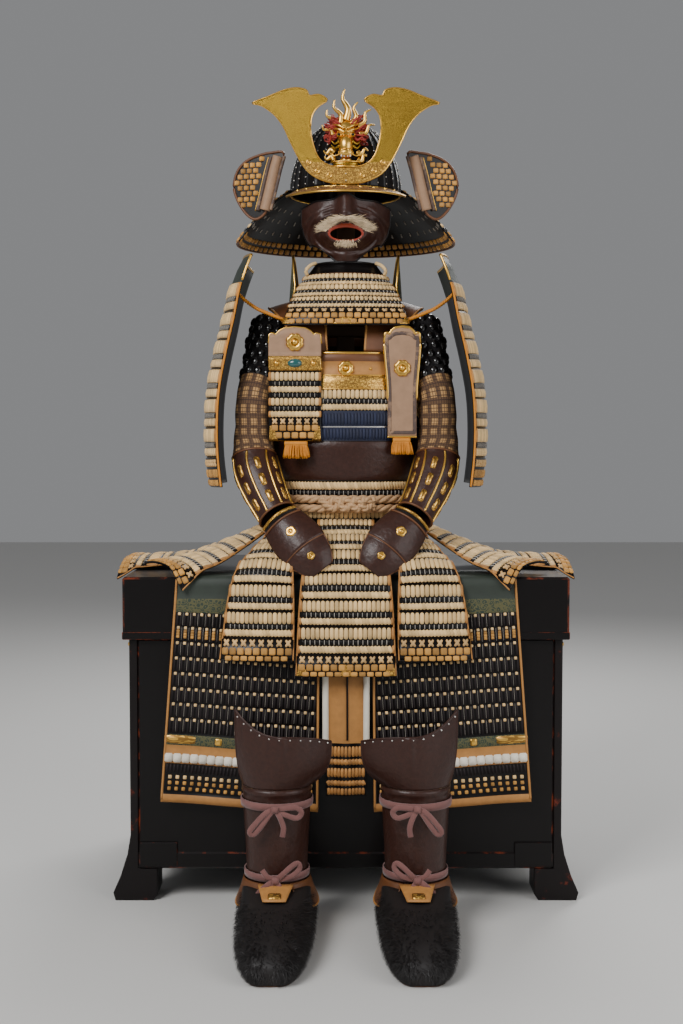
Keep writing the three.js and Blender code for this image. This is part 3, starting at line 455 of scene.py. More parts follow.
def blended(tree, share, a, b, how="MIX"):
    made = node(tree, "ShaderNodeMix", {0: share, 6: a, 7: b}, data_type="RGBA", blend_type=how)
    return made.outputs[2]


def group(name, inputs, outputs, build):
    """A shader node group; inputs and outputs are (name, kind) pairs"""
    tree = bpy.data.node_groups.new(name, "ShaderNodeTree")
    for direction, sockets in (("INPUT", inputs), ("OUTPUT", outputs)):
        for label, kind in sockets:
            tree.interface.new_socket(label, in_out=direction, socket_type="NodeSocket" + kind)
    start, end = tree.nodes.new("NodeGroupInput"), tree.nodes.new("NodeGroupOutput")
    for label, socket in build(tree, start.outputs).items():
        tree.links.new(socket, end.inputs[label])
    return tree


def build_tone(tree, given):
    """Each piece a little lighter or darker, with a soft mottle over it"""
    shade = node(tree, "ShaderNodeAttribute", attribute_name="shade").outputs["Fac"]
    place = node(tree, "ShaderNodeTexCoord").outputs["Object"]
    noise = node(tree, "ShaderNodeTexNoise", {"Vector": place, "Scale": given["Scale"],
                                              "Detail": 4.0}).outputs["Fac"]
    swing = maths(tree, "MULTIPLY_ADD", maths(tree, "ADD", shade, noise), 1.0, -1.0)
    gain = maths(tree, "MULTIPLY_ADD", swing, given["Spread"], 1.0)
    grey = node(tree, "ShaderNodeCombineColor", {0: gain, 1: gain, 2: gain}).outputs[0]
    return {"Colour": blended(tree, 1.0, given["Colour"], grey, "MULTIPLY"), "Height": noise}


def build_scroll(tree, given):
    """Scrolling foliage, as in stencilled leather and chased metal, in the surface's own UV"""
    place = node(tree, "ShaderNodeUVMap", uv_map="UVMap").outputs["UV"]
    drift = node(tree, "ShaderNodeTexNoise", {"Vector": place, "Scale": given["Scale"],
                                              "Detail": 1.0}).outputs["Color"]
    bent = blended(tree, 0.35, node(tree, "ShaderNodeVectorMath", {0: place, 1: given["Scale"]},
                                    operation="MULTIPLY").outputs[0],
                   drift, "LINEAR_LIGHT")
    cells = node(tree, "ShaderNodeTexVoronoi", {"Vector": bent, "Scale": 1.0},
                 feature="DISTANCE_TO_EDGE").outputs["Distance"]
    rings = node(tree, "ShaderNodeTexVoronoi", {"Vector": bent, "Scale": 1.0}).outputs["Distance"]
    stem = maths(tree, "LESS_THAN", cells, 0.07)
    curl = maths(tree, "GREATER_THAN", maths(tree, "SINE", maths(tree, "MULTIPLY", rings, 17.0)), 0.35)
    return {"Mask": maths(tree, "MAXIMUM", stem, curl)}


def build_weave(tree, given):
    """Threads over and under, in the surface's own UV"""
    place = node(tree, "ShaderNodeUVMap", uv_map="UVMap").outputs["UV"]
    split = node(tree, "ShaderNodeSeparateXYZ", {0: place})
    waves = [maths(tree, "SINE", maths(tree, "MULTIPLY", split.outputs[i], given["Threads"])) for i in (0, 1)]
    return {"Height": maths(tree, "ABSOLUTE", maths(tree, "MULTIPLY", waves[0], waves[1]))}


def build_wear(tree, given):
    """Patches where a finish has rubbed through"""
    place = node(tree, "ShaderNodeTexCoord").outputs["Object"]
    noise = node(tree, "ShaderNodeTexNoise", {"Vector": place, "Scale": given["Scale"], "Detail": 6.0,
                                              "Roughness": 0.7})
    high = maths(tree, "SUBTRACT", noise.outputs["Fac"], maths(tree, "SUBTRACT", 0.75, given["Amount"]))
    return {"Mask": node(tree, "ShaderNodeClamp", {0: maths(tree, "MULTIPLY", high, 12.0)}).outputs[0]}


TONE = group("tone", [("Colour", "Color"), ("Spread", "Float"), ("Scale", "Float")],
             [("Colour", "Color"), ("Height", "Float")], build_tone)
SCROLL = group("scroll", [("Scale", "Float")], [("Mask", "Float")], build_scroll)
WEAVE = group("weave", [("Threads", "Float")], [("Height", "Float")], build_weave)
WEAR = group("wear", [("Scale", "Float"), ("Amount", "Float")], [("Mask", "Float")], build_wear)


def use(tree, shared, **inputs):
    made = node(tree, "ShaderNodeGroup", node_tree=shared)
    for key, value in inputs.items():
        label = key.capitalize()
        if isinstance(value, bpy.types.NodeSocket):
            tree.links.new(value, made.inputs[label])
        else:
            made.inputs[label].default_value = value
    return made.outputs


def finish(name, colour, rough, metal=0.0, coat=0.0, spread=0.25, grain=60.0, depth=0.2,
           figure=None, figure_scale=0.0, threads=0.0, worn=None, wear=0.0, sheen=0.0, shine=0.5):
    """One finish. figure is a second colour in scrolling foliage; worn shows where it has rubbed through"""
    made = bpy.data.materials.new(name)
    made.use_nodes = True
    tree = made.node_tree
    skin = tree.nodes["Principled BSDF"]
    tone = use(tree, TONE, colour=(*colour, 1), spread=spread, scale=grain)
    tint, height = tone["Colour"], tone["Height"]
    if figure:
        mask_out = use(tree, SCROLL, scale=figure_scale)["Mask"]
        tint = blended(tree, mask_out, tint, (*figure, 1))
        height = maths(tree, "ADD", height, mask_out)
    if threads:
        height = maths(tree, "ADD", height, use(tree, WEAVE, threads=threads)["Height"])
    if worn:
        rubbed = use(tree, WEAR, scale=24.0, amount=wear)["Mask"]
        tint = blended(tree, rubbed, tint, (*worn, 1))
    relief = node(tree, "ShaderNodeBump", {"Height": height, "Strength": depth, "Distance": 0.001})
    tree.links.new(tint, skin.inputs["Base Color"])
    tree.links.new(relief.outputs["Normal"], skin.inputs["Normal"])
    for label, value in (("Roughness", rough), ("Metallic", metal), ("Coat Weight", coat),
                         ("Sheen Weight", sheen),
                         ("Specular IOR Level", shine)):
        skin.inputs[label].default_value = value
    return made


def mesh_cloth(name):
    """Brown checked mesh over squares of orange cloth"""
    made = finish(name, (0.10, 0.045, 0.02), 0.8, depth=0.5, threads=2600.0)
    tree = made.node_tree
    place = node(tree, "ShaderNodeUVMap", uv_map="UVMap").outputs["UV"]
    split = node(tree, "ShaderNodeSeparateXYZ", {0: place})

    def bars(axis, pitch, share):
        wave = maths(tree, "FRACT", maths(tree, "DIVIDE", split.outputs[axis], pitch * MM))
        return maths(tree, "LESS_THAN", wave, share)

    square = maths(tree, "MULTIPLY", bars(0, 19.0, 0.62), bars(1, 20.5, 0.62))
    lines = maths(tree, "MAXIMUM", bars(0, 4.75, 0.24), bars(1, 5.125, 0.24))
    cloth = blended(tree, square, (0.11, 0.055, 0.024, 1), (0.45, 0.25, 0.095, 1))
    net = blended(tree, maths(tree, "MULTIPLY", lines, 0.85), cloth, (0.030, 0.014, 0.009, 1))
    tree.links.new(net, tree.nodes["Principled BSDF"].inputs["Base Color"])
    return made


GOLD = (0.80, 0.47, 0.10)
INK = (0.10, 0.045, 0.012)
FINISHES = {
    "lacquer": finish("black lacquer", (0.004, 0.003, 0.003), 0.34, coat=0.05, depth=0.04, shine=0.22),
    "worn_lacquer": finish("rubbed lacquer edge", (0.006, 0.004, 0.004), 0.36, worn=(0.15, 0.026, 0.009),
                           wear=0.24, shine=0.25),
    "brown_lacquer": finish("brown lacquered iron", (0.034, 0.012, 0.008), 0.40, coat=0.06, spread=0.9,
                            grain=150.0, depth=0.9, shine=0.32),
    "feet": finish("scuffed lacquer", (0.006, 0.004, 0.004), 0.36, worn=(0.13, 0.02, 0.008), wear=0.15,
                   shine=0.25),
    "boss": finish("black bosses", (0.006, 0.005, 0.005), 0.16, coat=0.7),
    "green": finish("green leather", (0.018, 0.026, 0.018), 0.6, spread=0.5),
    "pink_leather": finish("worn leather", (0.30, 0.175, 0.10), 0.62, spread=0.5, grain=70.0, depth=0.3),
    "dark_leather": finish("dark leather border", (0.075, 0.045, 0.035), 0.6, spread=0.9, grain=150.0,
                           worn=(0.25, 0.15, 0.09), wear=0.26),
    "cream": finish("cream lacing", (0.70, 0.47, 0.21), 0.75, spread=0.45, depth=0.25, sheen=0.1),
    # Pale thread; on the thigh guards this finish also paints thin highlight lines on the dark laces
    "thread": finish("pale thread", (0.34, 0.31, 0.27), 0.8),
    "navy": finish("indigo lacing", (0.007, 0.011, 0.036), 0.7, spread=0.5, sheen=0.05),
    "plum": finish("dark thigh lacing", (0.010, 0.006, 0.007), 0.6, spread=0.6, shine=0.3),
    "knot": finish("pale knots", (0.58, 0.36, 0.15), 0.75, spread=0.4),
    "amber": finish("amber knots", (0.46, 0.225, 0.045), 0.65, spread=0.7, depth=0.25, sheen=0.05),
    "gold": finish("plain gilt metal", GOLD, 0.30, metal=1.0, spread=0.2, depth=0.08),
    "chased": finish("chased gilt metal", GOLD, 0.38, metal=0.9, figure=(0.34, 0.18, 0.045),
                     figure_scale=150.0, depth=0.5),
    "engraved": finish("stippled gilt metal", (0.41, 0.25, 0.035), 0.30, metal=1.0,
                       figure=(0.30, 0.18, 0.024), figure_scale=330.0, depth=0.2),
    "stone": finish("blue-green stone", (0.015, 0.085, 0.085), 0.15, coat=0.6, spread=0.6),
    "silver": finish("pale metal", (0.62, 0.60, 0.57), 0.35, metal=1.0),
    "leather": finish("tan stencilled leather", (0.33, 0.155, 0.042), 0.62, figure=INK, figure_scale=95.0,
                      depth=0.25),
    "plain_leather": finish("tan leather", (0.40, 0.18, 0.045), 0.6, spread=0.5, grain=90.0),
    "brown_leather": finish("brown leather", (0.12, 0.042, 0.012), 0.5, spread=0.6, grain=40.0),
    "brocade": finish("green brocade", (0.020, 0.034, 0.022), 0.75, figure=(0.085, 0.08, 0.03),
                      figure_scale=110.0, threads=3000.0),
    "lining": finish("hemp lining", (0.030, 0.018, 0.011), 0.9, threads=2400.0),
    "orange": finish("orange silk", (0.55, 0.20, 0.012), 0.65, spread=0.6),
    "cloth": mesh_cloth("checked sleeve mesh"),
    "mail": finish("black mail", (0.012, 0.010, 0.011), 0.4, metal=0.6, threads=1500.0, depth=0.9),
    "velvet": finish("mauve velvet", (0.17, 0.070, 0.062), 0.85, spread=0.4, sheen=0.2),
    "rope": finish("hemp rope", (0.50, 0.30, 0.15), 0.8, spread=0.9, grain=260.0, depth=0.6),
    "white": finish("white padding", (0.74, 0.68, 0.57), 0.85, spread=0.2),
    "fur": finish("bear fur", (0.007, 0.005, 0.005), 0.6, spread=0.8),
    "hair": finish("pale hair", (0.58, 0.44, 0.27), 0.7, spread=0.8),
    "red": finish("red lacquer", (0.28, 0.030, 0.011), 0.35, coat=0.2),
    "mane": finish("red hair", (0.26, 0.018, 0.010), 0.55, spread=0.9),
    "wood": finish("dark wood", (0.10, 0.05, 0.022), 0.6, spread=0.6, grain=25.0),
}


# Meshes
def new_object(name, mesh):
    made = bpy.data.objects.new(name, mesh)
    bpy.context.scene.collection.objects.link(made)
    return made


def mesh_of(name, points, faces, uv=None, smooth=True):
    mesh = bpy.data.meshes.new(name)
    mesh.from_pydata((np.asarray(points) * MM).tolist(), [], [list(map(int, face)) for face in faces])
    corners = np.empty(len(mesh.loops), int)
    mesh.loops.foreach_get("vertex_index", corners)
    flat = np.asarray(points)[:, :2] if uv is None else np.asarray(uv)
    mesh.uv_layers.new(name="UVMap").data.foreach_set("uv", (flat[corners] * MM).ravel().astype(np.float32))
    mesh.attributes.new("shade", "FLOAT",
                        "POINT").data.foreach_set("value", np.full(len(points), 0.5, np.float32))
    mesh.polygons.foreach_set("use_smooth", np.full(len(mesh.polygons), smooth))
    mesh.update()
    return mesh


def weld(mesh):
    """Joins the corners where a tube meets itself"""
    made = bmesh.new()
    made.from_mesh(mesh)
    bmesh.ops.remove_doubles(made, verts=made.verts, dist=0.01 * MM)
    made.to_mesh(mesh)
    made.free()


def evaluated(made):
    """The object's mesh with its modifiers worked in"""
    bpy.context.view_layer.update()
    result = bpy.data.meshes.new_from_object(made.evaluated_get(bpy.context.evaluated_depsgraph_get()))
    bpy.data.objects.remove(made)
    return result


# Small shapes that are laid in rows: one unit wide and long, and one unit high
def pillow(sides, square, rings):
    """A pad with a rounded outline; rings list its height and its share of the full outline"""
    turns = (np.arange(sides) + 0.5) / sides * 2 * math.pi
    c, s = np.cos(turns), np.sin(turns)
    outline = np.stack([np.sign(c) * np.abs(c) ** square, np.sign(s) * np.abs(s) ** square], -1) / 2
    points, faces = [], []
    for height, share in rings:
        points += [(x * share, y * share, height) for x, y in outline]
    for ring in range(len(rings) - 1):
        for i in range(sides):
            k = (i + 1) % sides
            faces.append([ring * sides + i, ring * sides + k, (ring + 1) * sides + k, (ring + 1) * sides + i])
    points.append((0, 0, 1))
    last = (len(rings) - 1) * sides
    faces += [[last + i, last + (i + 1) % sides, len(points) - 1] for i in range(sides)]
    return points, faces


def crossed(points, faces):
    """Two narrow pads laid over each other in an X"""
    both, count = [], len(points)
    for turn in (math.radians(45), math.radians(-45)):
        c, s = math.cos(turn), math.sin(turn)
        both += [(x * 0.42 * c - y * 1.3 * s, x * 0.42 * s + y * 1.3 * c, z) for x, y, z in points]
    return both, faces + [[i + count for i in face] for face in faces]


def blade(bend, steps=4):
    """A hair: a thin tapering blade that stands up and leans over"""
    points, faces = [], []
    for i in range(steps):
        t = i / steps
        wide = 0.5 * (1 - t * 0.8)
        points += [(-wide, -t, math.sin(t * 1.5) * bend), (wide, -t, math.sin(t * 1.5) * bend)]
    points.append((0, -1, math.sin(1.5) * bend * 0.9))
    for i in range(steps - 1):
        faces.append([2 * i, 2 * i + 2, 2 * i + 3, 2 * i + 1])
    faces.append([2 * steps - 2, 2 * steps, 2 * steps - 1])
    return points, faces


def rosette(petals):
    """A plain flower boss: petals round a button"""
    points, faces, steps = [], [], petals * 4
    for radius, height in ((0.5, 0.0), (0.47, 0.45), (0.36, 0.6), (0.2, 0.35)):
        for i in range(steps):
            turn = i / steps * 2 * math.pi
            scallop = 1 - 0.14 * abs(math.sin(turn * petals / 2 + math.pi / 2)) ** 6 * (radius > 0.3)
            points.append((radius * scallop * math.cos(turn), radius * scallop * math.sin(turn), height))
    for ring in range(3):
        for i in range(steps):
            k = (i + 1) % steps
            faces.append([ring * steps + i, ring * steps + k, (ring + 1) * steps + k, (ring + 1) * steps + i])
    button, knob = pillow(8, 1.0, [(0.3, 0.4), (0.8, 0.3)])
    faces += [[len(points) + i for i in face] for face in knob]
    return points + button, faces


PAD_RINGS = [(-0.3, 1.0), (0.62, 0.93)]
SHAPES = {
    "pad": pillow(8, 0.45, PAD_RINGS),
    "lace": pillow(10, 0.55, PAD_RINGS),
    "square": pillow(12, 0.38, [(-0.3, 1.0), (0.6, 0.95), (0.92, 0.6)]),
    "ball": pillow(10, 1.0, [(0.0, 1.0), (0.5, 0.87), (0.87, 0.5)]),
    "cross": crossed(*pillow(8, 0.5, PAD_RINGS)),
    "hair": blade(0.35),
    "rosette": rosette(8),
    "flower": rosette(5),
}


def make_templates():
    """The small shapes as objects, one metre in size, which the laying tree scales"""
    made = {}
    for name, (points, faces) in SHAPES.items():
        mesh = bpy.data.meshes.new("shape " + name)
        mesh.from_pydata([tuple(p) for p in points], [], faces)
        corners = np.empty(len(mesh.loops), int)
        mesh.loops.foreach_get("vertex_index", corners)
        flat = np.array([p[:2] for p in points])[corners] * 0.01
        mesh.uv_layers.new(name="UVMap").data.foreach_set("uv", flat.ravel().astype(np.float32))
        mesh.polygons.foreach_set("use_smooth", np.full(len(mesh.polygons), True))
        made[name] = new_object("shape " + name, mesh)
    return made


TEMPLATES = make_templates()


def make_laying_tree():
    """Sets one shape on every point, turned and sized by the point's attributes"""
    tree = bpy.data.node_groups.new("laid in rows", "GeometryNodeTree")
    for label, kind in (("Geometry", "Geometry"), ("Shape", "Object"), ("Finish", "Material")):
        tree.interface.new_socket(label, in_out="INPUT", socket_type="NodeSocket" + kind)
    tree.interface.new_socket("Geometry", in_out="OUTPUT", socket_type="NodeSocketGeometry")
    start, end = tree.nodes.new("NodeGroupInput"), tree.nodes.new("NodeGroupOutput")
    shape = node(tree, "GeometryNodeObjectInfo", {"Object": start.outputs["Shape"]})
    turn = node(tree, "GeometryNodeInputNamedAttribute", {"Name": "turn"}, data_type="FLOAT_VECTOR")
    size = node(tree, "GeometryNodeInputNamedAttribute", {"Name": "size"}, data_type="FLOAT_VECTOR")
    rotation = node(tree, "FunctionNodeEulerToRotation", {0: turn.outputs["Attribute"]})
    placed = node(tree, "GeometryNodeInstanceOnPoints", {
        "Points": start.outputs["Geometry"], "Instance": shape.outputs["Geometry"],
        "Rotation": rotation.outputs[0], "Scale": size.outputs["Attribute"]})
    real = node(tree, "GeometryNodeRealizeInstances", {"Geometry": placed.outputs[0]})
    dressed = node(tree, "GeometryNodeSetMaterial", {"Geometry": real.outputs[0],
                                                     "Material": start.outputs["Finish"]})
    tree.links.new(dressed.outputs[0], end.inputs[0])
    return tree


LAYING = make_laying_tree()
SOCKETS = {item.name: item.identifier for item in LAYING.interface.items_tree if item.in_out == "INPUT"}


def euler(x, y, z):
    """Turns of frames whose axes are x, y and z"""
    return np.stack([np.arctan2(y[:, 2], z[:, 2]), -np.arcsin(np.clip(x[:, 2], -1, 1)),
                     np.arctan2(x[:, 1], x[:, 0])], -1)


def laid(name, shape, places, material):
    """The mesh of one shape laid at all places"""
    at, turn, size, shade = (np.concatenate(parts) for parts in zip(*places))
    mesh = bpy.data.meshes.new(name)
    mesh.from_pydata((at * MM).tolist(), [], [])
    for label, kind, key, values in (("turn", "FLOAT_VECTOR", "vector", turn),
                                     ("size", "FLOAT_VECTOR", "vector", size * MM),
                                     ("shade", "FLOAT", "value", shade)):
        mesh.attributes.new(label, kind, "POINT").data.foreach_set(key, values.ravel().astype(np.float32))
    made = new_object(name, mesh)
    modifier = made.modifiers.new("laid", "NODES")
    modifier.node_group = LAYING
    modifier[SOCKETS["Shape"]] = TEMPLATES[shape]
    modifier[SOCKETS["Finish"]] = material
    return evaluated(made)


def placed(surface, u, v, size, lift=0.0, spin=0.0, lean=0.0):
    """Places on a surface: size is (wide, long, high) in millimetres, one for all or one for each"""
    e = 1e-3
    out = normal(surface, u, v)
    across = unit(surface(u + e, v) - surface(u - e, v))
    across = unit(across - out * (across * out).sum(-1, keepdims=True))
    up = np.cross(out, across)
    given = (np.radians(spin), np.radians(lean), lift)
    turn, tilt, rise = (np.asarray(value, float)[..., None] for value in given)
    at = surface(u, v) + out * rise
    x = across * np.cos(turn) + up * np.sin(turn)
    y = np.cross(out, x)
    y, out = y * np.cos(tilt) + out * np.sin(tilt), out * np.cos(tilt) - y * np.sin(tilt)
    sizes = np.broadcast_to(np.asarray(size, float), at.shape)
    return at, euler(x, y, out), sizes, rng.random(len(at))


def course(surface, v, pitch, size, lift=0.0, spin=0.0, span=(-1, 1), stagger=False):
    """Places in one course across a surface, even by real distance; size starts with a share of the pitch"""
    us = np.linspace(*span, 97)
    line = surface(us, np.full(97, v))
    run = np.concatenate([[0], np.cumsum(np.linalg.norm(np.diff(line, axis=0), axis=1))])
    count = max(2, round(run[-1] / pitch))
    step = run[-1] / count
    at = (np.arange(count - stagger) + (1.0 if stagger else 0.5)) * step
    u = np.interp(at, run, us)
    return placed(surface, u, np.full(len(u), v), (size[0] * step, size[1], size[2]), lift, spin)


class Piece:
    """One piece of the armour: meshes with their finishes, joined at the end into one object"""

    def __init__(self, name):
        self.name = name
        self.meshes = []
        self.laid = {}

    def mesh(self, points, faces, kinds, uv=None, smooth=True):
        """kinds names one finish, or one for each face"""
        made = mesh_of(self.name, points, faces, uv, smooth)
        kinds = [kinds] * len(faces) if isinstance(kinds, str) else kinds
        used = sorted(set(kinds))
        for kind in used:
            made.materials.append(FINISHES[kind])
        made.polygons.foreach_set("material_index", [used.index(kind) for kind in kinds])
        self.meshes.append(made)
        return made

    def wall(self, surface, rows, across, thick, finishes, closed=False):
        """A thin closed wall on a surface; rows are (share, lift), finishes are (stretch's end, finish)"""
        us = np.linspace(0, 1, across + 1) if closed else np.linspace(-1, 1, across + 1)
        vs, lifts = np.array(rows, float).T
        grid_u, grid_v = np.meshgrid(us, vs)
        flat_u, flat_v = grid_u.ravel(), grid_v.ravel()
        middle = surface(flat_u, flat_v)
        out = normal(surface, flat_u, flat_v)
        outer = middle + out * (thick / 2 + np.repeat(lifts, across + 1))[:, None]
        inner = middle - out * (thick / 2)
        net = middle.reshape(len(vs), across + 1, 3)
        over = np.concatenate([np.zeros((len(vs), 1)),
                               np.cumsum(np.linalg.norm(np.diff(net, axis=1), axis=2), axis=1)], axis=1)
        down = np.concatenate([[0], np.cumsum(np.linalg.norm(np.diff(net[:, across // 2], axis=0), axis=1))])
        over -= over[:, -1:] / 2
        uv = np.stack([over, np.repeat(down[:, None], across + 1, axis=1)], -1).reshape(-1, 2)
        count, wide = len(middle), across + 1
        faces, kinds = [], []

        def add(face, v):
            faces.append(face)
            kinds.append(next(kind for end, kind in finishes if v <= end))

        for j in range(len(vs) - 1):
            v = (vs[j] + vs[j + 1]) / 2
            for i in range(across):
                a, b, c, d = j * wide + i, j * wide + i + 1, (j + 1) * wide + i + 1, (j + 1) * wide + i
                add([a, d, c, b], v)
                add([a + count, b + count, c + count, d + count], v)
            if not closed:
                for i in (0, across):
                    a, d = j * wide + i, (j + 1) * wide + i
                    rim = [a, a + count, d + count, d]
                    add(rim if i == 0 else rim[::-1], v)
        for j in (0, len(vs) - 1):
            for i in range(across):
                a, b = j * wide + i, j * wide + i + 1
                rim = [a, b, b + count, a + count]
                add(rim if j == 0 else rim[::-1], vs[j])
        made = self.mesh(np.concatenate([outer, inner]), faces, kinds, np.concatenate([uv, uv]))
        if closed:
            weld(made)

    def sweep(self, path, radius, finish_name, sides=8, closed=False, flat=None):
        """A round cord along a line of points, or a flat ribbon if flat gives its thickness"""
        path = np.asarray(path, float)
        ahead = unit(np.roll(path, -1, 0) - np.roll(path, 1, 0) if closed else np.gradient(path, axis=0))
        up = np.array([0.0, -1.0, 0.0]) if flat is not None else np.array([0.0, 0.0, 1.0])
        if flat is None and np.abs(ahead[:, 2]).mean() > 0.75:
            up = np.array([0.0, 1.0, 0.0])
        side = unit(np.cross(ahead, up))
        lift = np.cross(side, ahead)
        radii = np.broadcast_to(np.asarray(radius, float), len(path))
        depth = radii if flat is None else np.full(len(path), flat)
        turns = np.arange(sides) / sides * 2 * math.pi
        rings = path[:, None] + side[:, None] * (radii[:, None] * np.cos(turns))[..., None] \
            + lift[:, None] * (depth[:, None] * np.sin(turns))[..., None]
        count, faces = len(path), []
        for j in range(count if closed else count - 1):
            k = (j + 1) % count
            for i in range(sides):
                n = (i + 1) % sides
                faces.append([j * sides + i, j * sides + n, k * sides + n, k * sides + i])
        if not closed:
            faces.append(list(range(sides))[::-1])
            faces.append([(count - 1) * sides + i for i in range(sides)])
        run = np.concatenate([[0], np.cumsum(np.linalg.norm(np.diff(path, axis=0), axis=1))])
        uv = np.stack(np.broadcast_arrays(run[:, None], (turns * radii.mean())[None]), -1).reshape(-1, 2)
        self.mesh(rings.reshape(-1, 3), faces, finish_name, uv)

    def down(self, surface, u, ends, steps, out, radius, finish_name, sides):
        """A cord down a surface, at one place across it"""
        path = lifted(surface, out)(np.full(steps, u), np.linspace(*ends, steps))
        self.sweep(path, radius, finish_name, sides=sides)

    def across(self, surface, v, half, steps, out, radius, finish_name, sides):
        """A cord across a surface, at one place down it"""
        path = lifted(surface, out)(np.linspace(-half, half, steps), np.full(steps, v))
        self.sweep(path, radius, finish_name, sides=sides)

    def lay(self, shape, finish_name, places):
        self.laid.setdefault((shape, finish_name), []).append(places)

    def joined(self, suffix):
        """One object of the meshes made since the last one"""
        objects = [new_object(self.name + suffix, mesh) for mesh in self.meshes]
        self.meshes = []
        if len(objects) > 1:
            with bpy.context.temp_override(active_object=objects[0], object=objects[0],
                                           selected_editable_objects=objects,
                                           selected_objects=objects):
                bpy.ops.object.join()
        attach(objects[0], "root")
        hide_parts(self.name)
        return objects[0]

    def done(self):
        for (shape, finish_name), places in self.laid.items():
            self.meshes.append(laid(self.name, shape, places, FINISHES[finish_name]))
        return self.joined("_dressed")


def cord_line(points, steps):
    """A smooth line through given points"""
    line = track(table("x y z", points))(np.linspace(0, 1, steps))
    return point(line["x"], line["y"], line["z"])


# Courses of lacing: each kind is a list of (shape, pitch, share of the pitch, height, spin, stagger, finish)
COURSES = {
    "laces": [("lace", 8.2, 0.95, 3.0, 0, False, "cream")],
    "navy_laces": [("lace", 6.0, 0.96, 2.4, 0, False, "navy")],
    "amber_laces": [("lace", 6.2, 0.95, 2.6, 0, False, "plain_leather")],
    "heads": [("pad", 8.2, 0.62, 2.2, 0, False, "lacquer"), ("pad", 8.2, 0.17, 2.2, 0, True, "thread")],
    "braid": [("pad", 6.2, 1.25, 3.4, 24, False, "cream")],
    "amber_braid": [("pad", 6.2, 1.25, 3.0, 24, False, "plain_leather")],
    "crosses": [("cross", 15.5, 0.66, 2.6, 0, False, "knot")],
    "squares": [("square", 14.2, 0.86, 3.2, 0, False, "amber")],
    "squares_between": [("square", 14.2, 0.86, 3.2, 0, True, "amber")],
    "small_squares": [("square", 13.0, 0.42, 3.0, 0, False, "cream")],
    "small_amber": [("square", 13.0, 0.42, 3.0, 0, False, "amber")],
}
LAME = [("laces", 0.0, 0.45), ("heads", 0.46, 0.65), ("braid", 0.66, 0.92)]


def lames(count, low=0.0, high=1.0, courses=LAME):
    """Courses of several lames, one below the other"""
    return [(kind, mix(low, high, (i + a) / count), mix(low, high, (i + b) / count))
            for i in range(count) for kind, a, b in courses]


def steps_of(count, low=0.0, high=1.0, proud=2.4, flush=0.2):
    """Rows of a wall in lames: each one's upper edge stands over the one above it"""
    rows = []
    for i in range(count):
        for share in (0.0, 0.33, 0.66, 0.999):
            rows.append((mix(low, high, (i + share) / count), mix(proud, flush, share)))
    return rows


def dress(piece, surface, bands, thick=2.4, lift=None, span=(-1, 1), middle=0.0):
    """Lays the courses named in bands, (kind, share down at the top, at the bottom), on a surface"""
    for kind, top, bottom in bands:
        v = (top + bottom) / 2
        high = length_down(surface, top, bottom, middle)
        out = thick / 2 + (lift(v) if lift else 0.4)
        for shape, pitch, share, proud, spin, stagger, finish_name in COURSES[kind]:
            piece.lay(shape, finish_name, course(surface, v, pitch, (share, high, proud), out, spin, span,
                                                 stagger))


def lifts(rows):
    vs, out = np.array(rows, float).T
    return lambda v: float(np.interp(v, vs, out))


def ends(piece, surface, bands, share=0.965, wide=5.5, thick=2.4, lift=None):
    """Leather loops at both ends of each course of laces"""
    for kind, top, bottom in bands:
        if kind not in ("laces", "braid"):
            continue
        v = (top + bottom) / 2
        high = length_down(surface, top, bottom)
        out = thick / 2 + (lift(v) if lift else 0.4)
        u = np.array([-share, share])
        piece.lay("lace", "plain_leather", placed(surface, u, np.full(2, v), (wide, high * 1.05, 3.2), out))


# Tassets: lames laced in cream, with knots and amber squares along the hem
HEM = 0.875


def tasset(name, surface, count, gilt=False):
    piece = Piece(name)
    rows = steps_of(count, 0, HEM) + [(HEM, 2.4), (0.96, 1.4), (1.0, 1.0)]
    piece.wall(surface, rows, 24, 2.4, [(1.0, "lacquer")])
    out = lifts(rows)
    bands = lames(count, 0, HEM)
    dress(piece, surface, bands, lift=out, span=(-0.93, 0.93))
    ends(piece, surface, bands, lift=out)
    step = (1 - HEM) / 3
    hem = [("crosses", HEM, HEM + step * 0.85), ("squares", HEM + step * 0.95, HEM + step * 1.9),
           ("squares_between", HEM + step * 2.0, HEM + step * 2.92)]
    dress(piece, surface, hem, lift=out, span=(-0.97, 0.97))
    if gilt:
        corner_plates(piece, surface, HEM + step * 1.0)
    for u in (-0.995, 0.995):
        piece.down(surface, u, (0.01, 0.995), 60, 1.8, 1.5, "plain_leather", 6)
    piece.across(surface, 0.994, 0.99, 40, 1.8, 1.5, "lacquer", 6)
    return piece.done()


def corner_plates(piece, surface, top, middles=(-0.86, 0.0, 0.86), half=0.13):
    """Chased gilt fittings at the bottom corners and the middle of a hem"""
    for middle in middles:
        def patch(u, v, middle=middle):
            reach = half * (0.35 + 0.65 * v)
            shift = math.copysign(half * 0.4, middle) * (1 - v) if middle else 0
            return surface(middle + shift + reach * u, mix(top, 0.995, v))
        piece.wall(lifted(patch, 3.4), even(7), 8, 1.4, [(1.0, "chased")])


def build_tassets():
    for place, count in (("front", 6), ("side_front", 5), ("side_rear", 6), ("back", 5)):
        for side, word in SIDES.items():
            tasset(f"tasset_{place}_{word}", sided(TASSETS[place], side), count)
    tasset("tasset_front_centre", CENTRE_TASSET, 6, gilt=True)


